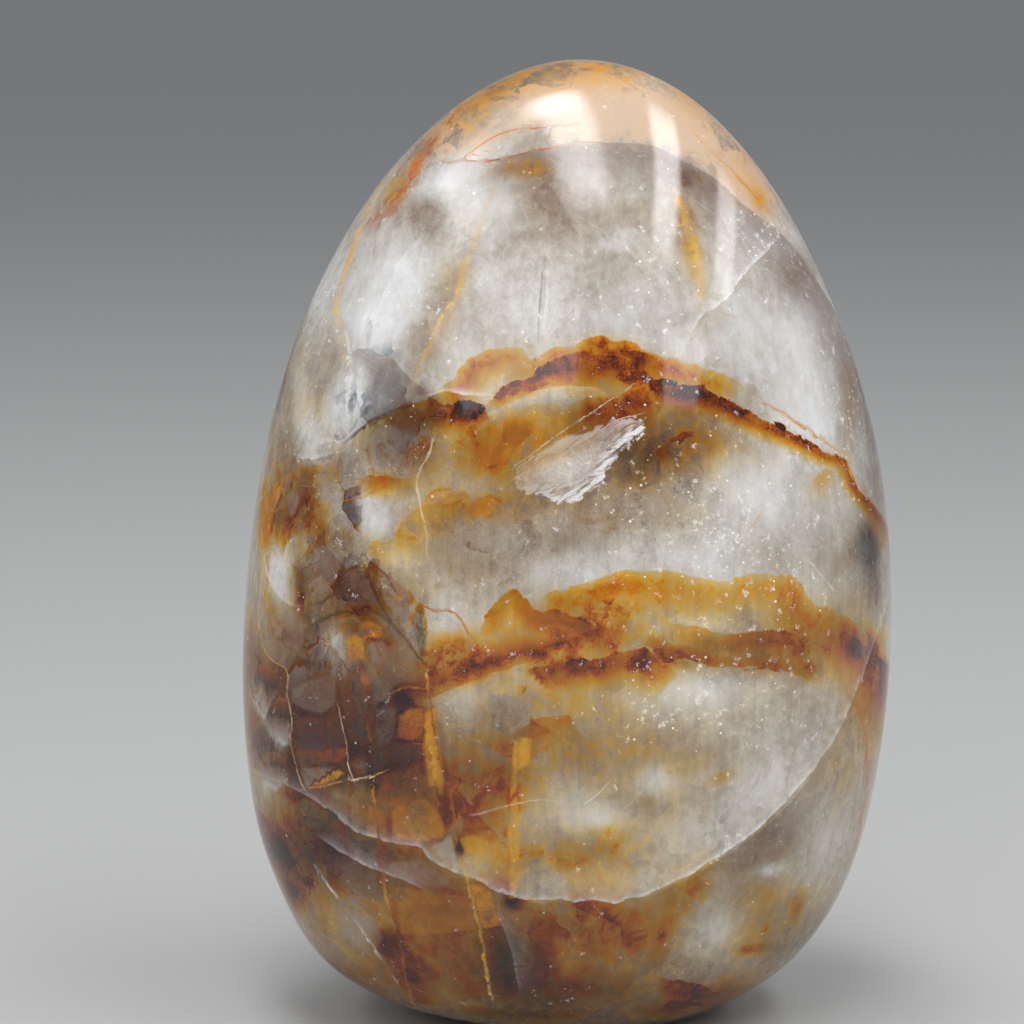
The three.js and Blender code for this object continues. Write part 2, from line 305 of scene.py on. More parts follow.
# Healed fractures, seen as sheets with one sharp edge, in layers of smoke, iron or white veil. route is
# that edge as the photograph shows it, in its pixels; side is where the sheet lies, seen along the route,
# and "right", which is below a route that runs to the right, where it isn't given; fade is how far it
# reaches from the edge in mm; and strength is spread along the route. Iron runs from 0.2, straw, through
# 0.45, gold, 0.6, orange, and 0.8, rust, to 1, near black. lean is how the sheet slopes as it goes back. A
# sheet with through goes right round the stone, and the others end reach mm behind their edge. The sheets
# of one layer lie apart from each other.
layers = {
    "ironOne": ("iron", {
        "mainEdge": {
            "route": [(428, 392), (440, 386), (453, 378), (463, 363), (478, 356), (493, 350), (510, 348),
                      (522, 351), (532, 360), (551, 350), (576, 344), (589, 339), (602, 337), (613, 341),
                      (628, 341), (640, 348), (664, 357), (700, 366), (711, 371), (734, 377), (744, 384)],
            "fade": 7.0, "lean": (0.0, 0.3), "reach": 26,
            "strength": [0.2, 0.56, 0.66, 0.58, 0.5, 0.42, 0.4, 0.56, 0.62, 0.72, 0.82, 0.8, 0.7, 0.6, 0.54,
                         0.46, 0.2]},
        "secondEdge": {
            "route": [(540, 600), (548, 594), (559, 589), (588, 580), (607, 574), (624, 569), (643, 571),
                      (673, 572), (706, 577), (728, 581), (748, 576), (768, 572), (789, 575), (799, 586),
                      (814, 605), (832, 611), (854, 621), (869, 633), (880, 646), (888, 660)],
            "fade": 10.0, "lean": (0.0, -0.22), "through": True,
            "strength": [0.2, 0.5, 0.54, 0.54, 0.54, 0.5, 0.44, 0.44, 0.5, 0.54, 0.56, 0.62, 0.7, 0.72]},
        "orangeSheet": {
            "route": [(440, 785), (449, 812), (458, 845), (464, 875), (470, 892), (479, 926), (485, 962),
                      (491, 1000)],
            "fade": 12.0, "reach": 20, "strength": [0.1, 0.34, 0.36, 0.38, 0.42, 0.46, 0.5, 0.5]},
        "rightColumn": {
            "route": [(700, 858), (692, 872), (690, 879), (684, 905), (681, 918), (675, 939), (671, 956),
                      (666, 980)],
            "fade": 8.0, "reach": 16, "strength": [0.0, 0.3, 0.4, 0.44, 0.46, 0.6, 0.5, 0.1]},
        "leftBlob": {
            "route": [(294, 480), (298, 470), (305, 463), (315, 461), (325, 466), (331, 480)],
            "fade": 7.0, "reach": 14, "strength": [0.3, 0.5, 0.6, 0.54, 0.4, 0.1]},
    }),
    "ironTwo": ("iron", {
        "bottomRust": {
            "route": [(655, 978), (666, 977), (684, 979), (703, 984), (716, 990), (730, 1000)],
            "fade": 8.0, "reach": 20, "strength": [0.2, 0.7, 0.86, 0.84, 0.6]},
        "mainDark": {
            "route": [(490, 402), (497, 395), (510, 382), (530, 377), (540, 367), (559, 358), (576, 352),
                      (600, 350), (625, 350), (645, 352), (668, 362), (700, 372)],
            "fade": [3, 3, 3, 3.4, 5, 8, 9, 9, 9, 7, 5, 3], "lean": (0.0, 0.3), "reach": 20,
            "strength": [0.3, 0.7, 0.78, 0.78, 0.76, 0.78, 0.8, 0.8, 0.8, 0.78, 0.5, 0.1]},
        "secondHook": {
            "route": [(476, 640), (481, 628), (488, 614), (500, 597), (515, 590), (527, 601), (540, 612),
                      (559, 608), (577, 614), (591, 621), (613, 626), (632, 622)],
            "fade": 6.0, "lean": (0.0, -0.2), "reach": 22,
            "strength": [0.2, 0.4, 0.46, 0.42, 0.44, 0.56, 0.64, 0.7, 0.76, 0.76, 0.7, 0.3]},
        "goldArch": {
            "route": [(511, 742), (515, 732), (528, 723), (541, 718), (558, 715), (571, 716), (577, 723),
                      (588, 736), (597, 748)],
            "fade": 9.0, "reach": 14, "strength": [0.3, 0.44, 0.46, 0.46, 0.46, 0.5, 0.46, 0.3, 0.1]},
        "rustLedge": {
            "route": [(352, 476), (367, 475), (380, 477), (392, 477), (405, 478), (418, 476)],
            "fade": 4.0, "reach": 14, "strength": [0.2, 0.5, 0.6, 0.5, 0.4, 0.2]},
    }),
    "ironThree": ("iron", {
        "thinLedge": {
            "route": [(436, 760), (443, 762), (464, 761), (480, 763), (492, 764), (502, 770)],
            "fade": 3.4, "reach": 14, "strength": [0.1, 0.4, 0.4, 0.36, 0.3, 0.1]},
        "mainGold": {
            "route": [(456, 440), (468, 431), (485, 424), (493, 418), (510, 412), (527, 405), (542, 402),
                      (557, 405), (564, 407), (576, 399), (594, 396), (611, 394), (621, 390), (638, 384),
                      (650, 380), (668, 384)],
            "fade": 12.0, "lean": (0.0, 0.3), "reach": 24,
            "strength": [0.2, 0.46, 0.5, 0.44, 0.4, 0.34, 0.34, 0.42, 0.56, 0.7, 0.7, 0.64, 0.66, 0.66,
                         0.5]},
        "secondFoot": {
            "route": [(640, 632), (630, 636), (620, 640), (606, 651), (588, 652), (570, 655), (545, 662),
                      (527, 665), (506, 671), (479, 678), (456, 689), (431, 699), (405, 702), (384, 700)],
            "fade": 7.0, "lean": (0.0, -0.2), "reach": 26,
            "strength": [0.2, 0.6, 0.6, 0.62, 0.66, 0.7, 0.74, 0.78, 0.8, 0.78, 0.74, 0.72, 0.66, 0.3]},
        "middleColumn": {
            "route": [(563, 840), (564, 870), (566, 900), (565, 940), (568, 975)],
            "side": "left", "fade": 18.0, "reach": 16, "strength": [0.1, 0.3, 0.38, 0.38, 0.1]},
    }),
    "ironFour": ("iron", {
        "darkArch": {
            "route": [(640, 382), (645, 377), (664, 378), (690, 384), (705, 381), (709, 388), (728, 399),
                      (760, 414), (785, 426), (804, 438), (824, 448), (847, 460), (860, 488), (879, 511),
                      (887, 527)],
            "fade": [6, 6, 6, 5, 4, 3.4, 3, 3.4, 5], "lean": (0.0, 0.26), "through": True,
            "strength": [0.3, 0.84, 0.98, 1.0, 1.0, 0.94, 0.9, 0.86, 0.86, 0.84, 0.76, 0.66, 0.64, 0.66,
                         0.6]},
        "leftDark": {
            "route": [(345, 443), (353, 435), (367, 423), (377, 417), (392, 412), (405, 405), (417, 402),
                      (430, 398), (447, 403), (473, 402), (486, 408), (492, 420)],
            "fade": 7.0, "lean": (0.1, 0.2), "reach": 30,
            "strength": [0.1, 0.2, 0.26, 0.3, 0.34, 0.4, 0.46, 0.56, 0.74, 0.84, 0.86, 0.5]},
        "secondRim": {
            "route": [(818, 684), (805, 680), (789, 675), (771, 670), (740, 669), (710, 668), (682, 658),
                      (665, 662), (652, 650), (640, 645)],
            "fade": 4.0, "lean": (0.0, -0.2), "reach": 26,
            "strength": [0.1, 0.5, 0.54, 0.54, 0.5, 0.56, 0.62, 0.64, 0.6, 0.3]},
    }),
    "ironFive": ("iron", {
        "yellowArch": {
            "route": [(362, 550), (367, 545), (377, 540), (392, 537), (397, 527), (410, 512), (423, 505),
                      (442, 498), (450, 490), (467, 493), (476, 502)],
            "fade": 8.0, "reach": 16,
            "strength": [0.1, 0.36, 0.36, 0.3, 0.26, 0.3, 0.34, 0.4, 0.4, 0.4, 0.2]},
        "leftFoot": {
            "route": [(248, 790), (262, 812), (275, 830), (290, 850), (305, 880), (314, 912)],
            "fade": 10.0, "reach": 40, "strength": [0.4, 0.66, 0.74, 0.74, 0.7, 0.3]},
        "rustShelf": {
            "route": [(525, 672), (530, 668), (552, 660), (580, 657), (607, 655), (626, 648), (645, 646),
                      (656, 660), (676, 672)],
            "fade": 7.0, "lean": (0.0, -0.2), "reach": 22,
            "strength": [0.3, 0.7, 0.74, 0.7, 0.66, 0.66, 0.7, 0.62, 0.3]},
        "rightRust": {
            "route": [(840, 634), (852, 636), (862, 641), (875, 650), (890, 668)],
            "fade": 6.0, "reach": 30, "strength": [0.2, 0.7, 0.84, 0.84, 0.8]},
        "leftDiagonal": {
            "route": [(324, 488), (316, 494), (308, 502), (298, 520), (288, 540), (284, 552)],
            "fade": 5.0, "reach": 14, "strength": [0.2, 0.5, 0.62, 0.6, 0.5, 0.2]},
    }),
    "ironSix": ("iron", {
        "plateEdge": {
            "route": [(356, 788), (366, 830), (374, 858), (380, 880), (388, 905), (395, 930), (404, 965),
                      (413, 1003)],
            "side": "left", "fade": 8.0, "reach": 16,
            "strength": [0.3, 0.44, 0.44, 0.42, 0.46, 0.58, 0.54, 0.5]},
        "goldBlock": {
            "route": [(510, 742), (516, 736), (524, 734), (533, 740)],
            "fade": 6.0, "reach": 12, "strength": [0.2, 0.4, 0.4, 0.2]},
        "rightBand": {
            "route": [(656, 624), (680, 622), (706, 628), (735, 632), (765, 628), (790, 632), (815, 640)],
            "fade": 6.0, "lean": (0.0, -0.2), "reach": 20,
            "strength": [0.1, 0.5, 0.56, 0.6, 0.66, 0.66, 0.3]},
        "rightCopper": {
            "route": [(636, 452), (650, 446), (668, 448), (684, 456), (698, 462)],
            "fade": 4.5, "reach": 12, "strength": [0.1, 0.3, 0.36, 0.36, 0.1]},
        "farCopper": {
            "route": [(806, 494), (812, 482), (820, 470), (832, 468), (842, 478)],
            "fade": 6.0, "reach": 12, "strength": [0.1, 0.26, 0.32, 0.26, 0.1]},
    }),
    "smokeOne": ("smoke", {
        "capArch": {
            "route": [(400, 178), (439, 160), (488, 160), (506, 156), (559, 145), (604, 142), (625, 142),
                      (656, 147), (685, 160), (716, 178), (736, 198), (761, 216), (781, 232), (803, 259),
                      (819, 283), (835, 312), (850, 352), (861, 388)],
            "fade": [7, 7, 6, 5, 6, 8, 8, 8], "lean": (0.0, 0.1), "through": True,
            "strength": [0.1, 0.2, 0.55, 0.6, 0.5, 0.55, 0.7, 0.7, 0.6, 0.6, 0.66, 0.7, 0.7, 0.7]},
        "greyPlane": {
            "route": [(352, 352), (357, 348), (370, 349), (382, 355), (392, 358), (400, 367), (410, 375),
                      (425, 390), (432, 400)],
            "fade": 12.0, "reach": 20, "strength": [0.3, 0.5, 0.55, 0.6, 0.6, 0.65, 0.7, 0.5, 0.2]},
        "underPlane": {
            "route": [(500, 892), (519, 899), (530, 902), (545, 903), (562, 900), (590, 903)],
            "fade": 9.0, "reach": 20, "strength": [0.2, 0.4, 0.5, 0.5, 0.3, 0.1]},
        "belowCrescent": {
            "route": [(640, 900), (661, 891), (690, 876), (706, 868), (733, 850), (766, 825), (797, 793),
                      (822, 760)],
            "fade": 11.0, "reach": 20, "strength": [0.1, 0.4, 0.5, 0.6, 0.7, 0.6, 0.4, 0.1]},
        "leftTriangle": {
            "route": [(384, 843), (397, 849), (419, 850), (438, 862), (459, 874), (479, 882)],
            "fade": 8.0, "reach": 14, "strength": [0.4, 0.6, 0.6, 0.7, 0.6, 0.3]},
    }),
    "veilOne": ("veil", {
        "crescent": {
            "route": [(250, 772), (280, 782), (306, 794), (323, 807), (339, 819), (354, 832), (378, 840),
                      (400, 845), (419, 847), (428, 858), (443, 868), (464, 877), (481, 881), (494, 890),
                      (511, 896), (524, 899), (536, 900), (562, 899), (573, 902), (586, 899), (598, 899),
                      (615, 903), (626, 900), (641, 897), (660, 890), (677, 881), (690, 875), (705, 864),
                      (720, 856), (733, 848), (766, 823), (783, 804), (797, 791), (811, 775), (822, 758),
                      (839, 733), (852, 706), (862, 680)],
            "side": "left", "fade": [4, 4, 4, 5, 6, 8, 11, 14, 13, 10], "lean": (0.0, 0.16), "through": True,
            "strength": [0.1, 0.4, 0.5, 0.5, 0.6, 0.7, 0.7, 0.75, 0.85, 0.95, 1.0, 1.1, 1.05, 0.8, 0.3]},
        "rightCrack": {
            "route": [(775, 244), (770, 250), (754, 263), (742, 280), (730, 297), (716, 308), (703, 317),
                      (689, 339), (684, 352)],
            "fade": 6.0, "lean": (0.2, 0.1), "reach": 20,
            "strength": [0.3, 0.8, 0.85, 0.9, 0.9, 0.8, 0.5, 0.1]},
        "lilacBand": {
            "route": [(486, 414), (491, 411), (510, 402), (536, 391), (560, 387), (589, 386), (600, 388)],
            "fade": 2.2, "reach": 14, "strength": [0.1, 0.2, 0.1, 0.3, 0.4, 0.3, 0.1]},
    }),
    "veilTwo": ("veil", {
        "lobeFoot": {
            "route": [(430, 396), (445, 392), (462, 394), (480, 396), (496, 396)],
            "side": "left", "fade": 2.6, "reach": 14, "strength": [0.3, 0.8, 0.8, 0.6, 0.1]},
        "secondLine": {
            "route": [(320, 838), (328, 844), (348, 855), (369, 867), (392, 877), (414, 885), (424, 890)],
            "side": "left", "fade": 5.0, "reach": 14, "strength": [0.1, 0.4, 0.5, 0.5, 0.4, 0.1]},
        "leftPlume": {
            "route": [(262, 555), (268, 575), (276, 592), (290, 604), (300, 606)],
            "side": "left", "fade": 7.0, "reach": 14, "strength": [0.3, 0.8, 0.8, 0.5, 0.1]},
        "paleEdge": {
            "route": [(496, 905), (498, 915), (507, 945), (515, 977), (518, 990)],
            "side": "left", "fade": 6.0, "reach": 14, "strength": [0.1, 0.2, 0.2, 0.2, 0.1]},
        "whiteLedge": {
            "route": [(300, 458), (312, 461), (322, 459), (332, 456)],
            "side": "left", "fade": 3.0, "reach": 14, "strength": [0.5, 0.9, 0.9, 0.4]},
        "upperVeil": {
            "route": [(420, 236), (398, 262), (380, 300), (372, 340), (366, 352)],
            "side": "left", "fade": 12.0, "reach": 14, "strength": [0.2, 0.6, 0.8, 0.7, 0.2]},
        "middleVeil": {
            "route": [(545, 250), (546, 280), (544, 310), (541, 336)],
            "side": "left", "fade": 6.0, "reach": 14, "strength": [0.2, 0.5, 0.5, 0.2]},
    }),
}

# Thin lines where fractures meet the polish, and one white strip on the left that is a painted highlight.
# tone runs from 0, white, through 0.45, gold, and 0.75, rust, to 1, dark. width is in mm.
# The lines of one group lie apart from each other.
hairlines = {
    "lineOne": [
        {"route": [(338, 706), (342, 727), (347, 748), (349, 765), (354, 781)],
         "width": 0.36, "strength": [0.3, 0.6, 0.6, 0.8, 0.4], "tone": [0.2, 0.14, 0.05, 0.15]},
        {"route": [(846, 458), (853, 478), (866, 496), (880, 514), (887, 530)],
         "width": 0.6, "strength": [0.5, 0.7, 0.7, 0.6], "tone": [0.3, 0.6, 0.7]},
        {"route": [(434, 436), (430, 453), (420, 470), (417, 482), (421, 507), (427, 532), (426, 567),
                   (422, 598)],
         "width": 0.55, "strength": [0.3, 0.6, 0.5, 0.7, 0.5, 0.2, 0.3], "tone": [0.12, 0.16, 0.2, 0.24]},
        {"route": [(434, 134), (424, 156), (413, 178), (395, 198), (376, 219), (366, 232)],
         "width": 2.6, "strength": [0.6, 1.0, 1.0, 0.9, 0.6, 0.2], "tone": [0.75, 0.62, 0.66, 0.7, 0.75]},
        {"route": [(680, 118), (698, 137), (716, 156), (736, 176), (754, 196), (762, 206)],
         "width": 0.6, "strength": [0.3, 0.6, 0.8, 0.8, 0.6], "tone": [0.4, 0.5, 0.6]},
        {"route": [(849, 696), (862, 717), (866, 740), (867, 766), (865, 800), (859, 833), (850, 868)],
         "width": 1.5, "strength": [0.5, 0.8, 0.9, 0.9, 0.9, 0.6], "tone": [0.7, 0.62, 0.6, 0.6, 0.55]},
        {"route": [(262, 613), (259, 627), (264, 647), (273, 661), (285, 668), (288, 679), (286, 694),
                   (290, 706), (292, 724), (290, 739), (294, 757), (299, 777), (304, 790)],
         "width": 0.42, "strength": [0.5, 0.7, 0.5, 0.6, 0.7, 0.4, 0.7],
         "tone": [0.36, 0.34, 0.2, 0.34, 0.24]},
        {"route": [(583, 805), (596, 796), (607, 784)],
         "width": 0.45, "strength": [0.5, 0.8, 0.4], "tone": [0.0]},
        {"route": [(366, 556), (372, 563), (384, 573), (391, 583), (396, 592)],
         "width": 0.6, "strength": [0.6, 0.8, 0.8, 0.6], "tone": [0.97, 0.8, 0.86]},
    ],
    "lineTwo": [
        {"route": [(345, 443), (353, 435), (367, 423), (377, 417), (392, 412), (405, 407), (417, 404)],
         "width": 0.9, "strength": [0.4, 0.8, 0.9, 0.8, 0.7, 0.4], "tone": [0.96, 1.0, 0.94]},
        {"route": [(440, 163), (462, 160), (486, 160), (508, 158), (530, 152), (556, 146), (580, 143),
                   (604, 142)],
         "width": 0.55, "strength": [0.3, 0.8, 0.9, 0.9, 0.8, 0.6, 0.5],
         "tone": [0.62, 0.66, 0.72, 0.66, 0.7]},
        {"route": [(316, 866), (328, 885), (342, 905), (368, 940), (398, 983)],
         "width": 0.7, "strength": [0.3, 0.7, 0.6, 0.3], "tone": [0.0]},
        {"route": [(428, 672), (430, 700), (434, 728), (440, 760), (449, 790), (454, 819), (459, 845),
                   (462, 862), (470, 892), (479, 926), (485, 962), (491, 999)],
         "width": 0.8, "strength": [0.5, 0.9, 0.9, 0.9, 0.8, 0.9, 0.6, 0.7, 0.8, 0.8],
         "tone": [0.3, 0.86, 0.7, 0.8, 0.6, 0.9, 0.4, 0.4, 0.5, 0.3]},
        {"route": [(464, 156), (485, 142), (509, 131), (545, 127), (578, 124)],
         "width": 0.45, "strength": [0.7, 0.8, 0.7, 0.5], "tone": [0.62, 0.6, 0.7]},
        {"route": [(764, 403), (785, 415), (804, 428), (827, 443), (846, 454)],
         "width": 0.9, "strength": [0.6, 0.9, 0.9, 0.8, 0.5], "tone": [0.6, 0.5, 0.55, 0.4]},
        {"route": [(632, 386), (600, 407), (578, 421), (550, 441), (513, 467)],
         "width": 0.4, "strength": [0.4, 0.7, 0.6, 0.3], "tone": [0.1]},
        {"route": [(811, 562), (820, 575), (834, 591)],
         "width": 0.35, "strength": [0.6, 0.5], "tone": [0.05]},
    ],
    "lineThree": [
        {"route": [(350, 556), (344, 566), (337, 583), (330, 597), (322, 602), (312, 606)],
         "width": 1.1, "strength": [0.6, 0.8, 0.7, 0.4], "tone": [0.97, 0.9, 0.95]},
        {"route": [(389, 694), (401, 687), (413, 687), (424, 688)],
         "width": 0.6, "strength": [0.6, 0.9, 0.8, 0.4], "tone": [0.72, 0.6]},
        {"route": [(270, 554), (268, 560), (269, 572), (266, 590)],
         "width": 1.0, "strength": [0.6, 0.9, 0.7, 0.3], "tone": [0.6, 0.55]},
        {"route": [(373, 789), (376, 815), (378, 839), (383, 872), (386, 900), (392, 915), (398, 930),
                   (406, 978), (415, 1006)],
         "width": 0.8, "strength": [0.7, 0.8, 0.9, 0.9, 0.8, 0.8, 0.8], "tone": [0.5, 0.8, 0.48, 0.8, 0.5]},
        {"route": [(676, 194), (681, 212), (685, 232), (693, 248), (700, 263), (702, 285), (703, 308)],
         "width": 2.0, "strength": [0.5, 0.7, 0.6, 0.6, 0.4], "tone": [0.42, 0.36, 0.34, 0.36]},
        {"route": [(545, 252), (542, 280), (540, 310), (538, 340)],
         "width": 0.5, "strength": [0.2, 0.4, 0.5, 0.3], "tone": [0.97]},
        {"route": [(640, 413), (616, 421), (594, 435), (572, 446)],
         "width": 0.35, "strength": [0.6, 0.5, 0.2], "tone": [0.05]},
        {"route": [(760, 514), (756, 520), (750, 530)],
         "width": 0.6, "strength": [0.5, 0.9, 0.5], "tone": [0.42]},
    ],
    "lineFour": [
        {"route": [(420, 603), (429, 608), (438, 612), (450, 610), (459, 617), (465, 626), (469, 634),
                   (472, 640)],
         "width": 0.7, "strength": [0.7, 0.9, 0.9, 0.8, 0.7], "tone": [0.66, 0.6, 0.58]},
        {"route": [(472, 815), (502, 807), (539, 801), (577, 804)],
         "width": 0.5, "strength": [0.3, 0.5, 0.3], "tone": [0.05]},
        {"route": [(309, 788), (330, 785), (353, 780), (371, 776), (384, 771), (404, 764), (424, 757)],
         "width": 0.55, "strength": [0.6, 0.8, 0.8, 0.7, 0.7], "tone": [0.5, 0.3, 0.1, 0.4, 0.95, 0.95]},
        {"route": [(495, 190), (480, 228), (466, 262), (457, 290), (442, 319), (430, 344), (417, 370),
                   (411, 384)],
         "width": 1.4, "strength": [0.2, 0.4, 0.6, 0.95, 0.7, 0.6, 0.5, 0.3],
         "tone": [0.4, 0.38, 0.42, 0.4]},
        {"route": [(368, 576), (374, 592), (379, 604), (384, 613), (392, 625)],
         "width": 0.7, "strength": [0.7, 0.9, 0.9, 0.8], "tone": [0.95, 1.0]},
        {"route": [(288, 477), (275, 490), (264, 505), (261, 522), (263, 547)],
         "width": 1.6, "strength": [0.5, 0.8, 0.9, 0.9, 0.6], "tone": [0.5, 0.6, 0.5, 0.45]},
        {"route": [(430, 704), (429, 725), (431, 748), (434, 770), (440, 790)],
         "width": 1.8, "strength": [0.4, 0.8, 0.9, 0.8, 0.4], "tone": [0.56, 0.48, 0.44, 0.48]},
        {"route": [(345, 500), (363, 498), (373, 490), (387, 481)],
         "width": 0.5, "strength": [0.5, 0.8, 0.8, 0.5], "tone": [0.55]},
        # This white strip down the left side is a painted highlight.
        {"route": [(345, 334), (349, 352), (350, 367), (348, 397), (348, 423)],
         "width": 1.4, "strength": [0.4, 0.8, 0.8, 0.7, 0.4], "tone": [0.0]},
        {"route": [(384, 176), (366, 215), (350, 258), (339, 299), (338, 332), (345, 361)],
         "width": 1.6, "strength": [0.4, 0.7, 0.8, 0.9, 0.8, 0.4], "tone": [0.3, 0.4, 0.34, 0.28]},
    ],
    "lineFive": [
        {"route": [(361, 661), (365, 672), (368, 687), (372, 705), (370, 730), (372, 750), (374, 766)],
         "width": 1.6, "strength": [0.4, 0.7, 0.8, 0.9, 1.0], "tone": [0.97, 0.6, 0.95, 0.7, 1.0]},
        {"route": [(301, 637), (314, 623), (327, 616), (346, 612), (362, 613), (375, 614), (387, 621),
                   (399, 632), (408, 642), (415, 653), (422, 661)],
         "width": 0.9, "strength": [0.4, 0.6, 0.8, 0.7, 0.6, 0.8, 0.9, 0.9],
         "tone": [0.8, 1.0, 0.92, 1.0, 0.86, 1.0]},
    ],
}

# The ragged white feather of a healed break in the middle of the front, and how bright it is along its
# outline.
feather = {
    "route": [(652, 414), (648, 422), (643, 433), (636, 440), (628, 448), (620, 456), (613, 465),
              (608, 476), (604, 486), (592, 494), (579, 499), (567, 502), (555, 503), (545, 500),
              (532, 495), (520, 492), (512, 480), (520, 464), (553, 442), (590, 428), (625, 420)],
    "strength": [0.9, 1.0, 1.0, 1.0, 1.0, 1.0, 0.9, 0.75, 0.4, 0.25, 0.3, 0.4, 0.6],
}

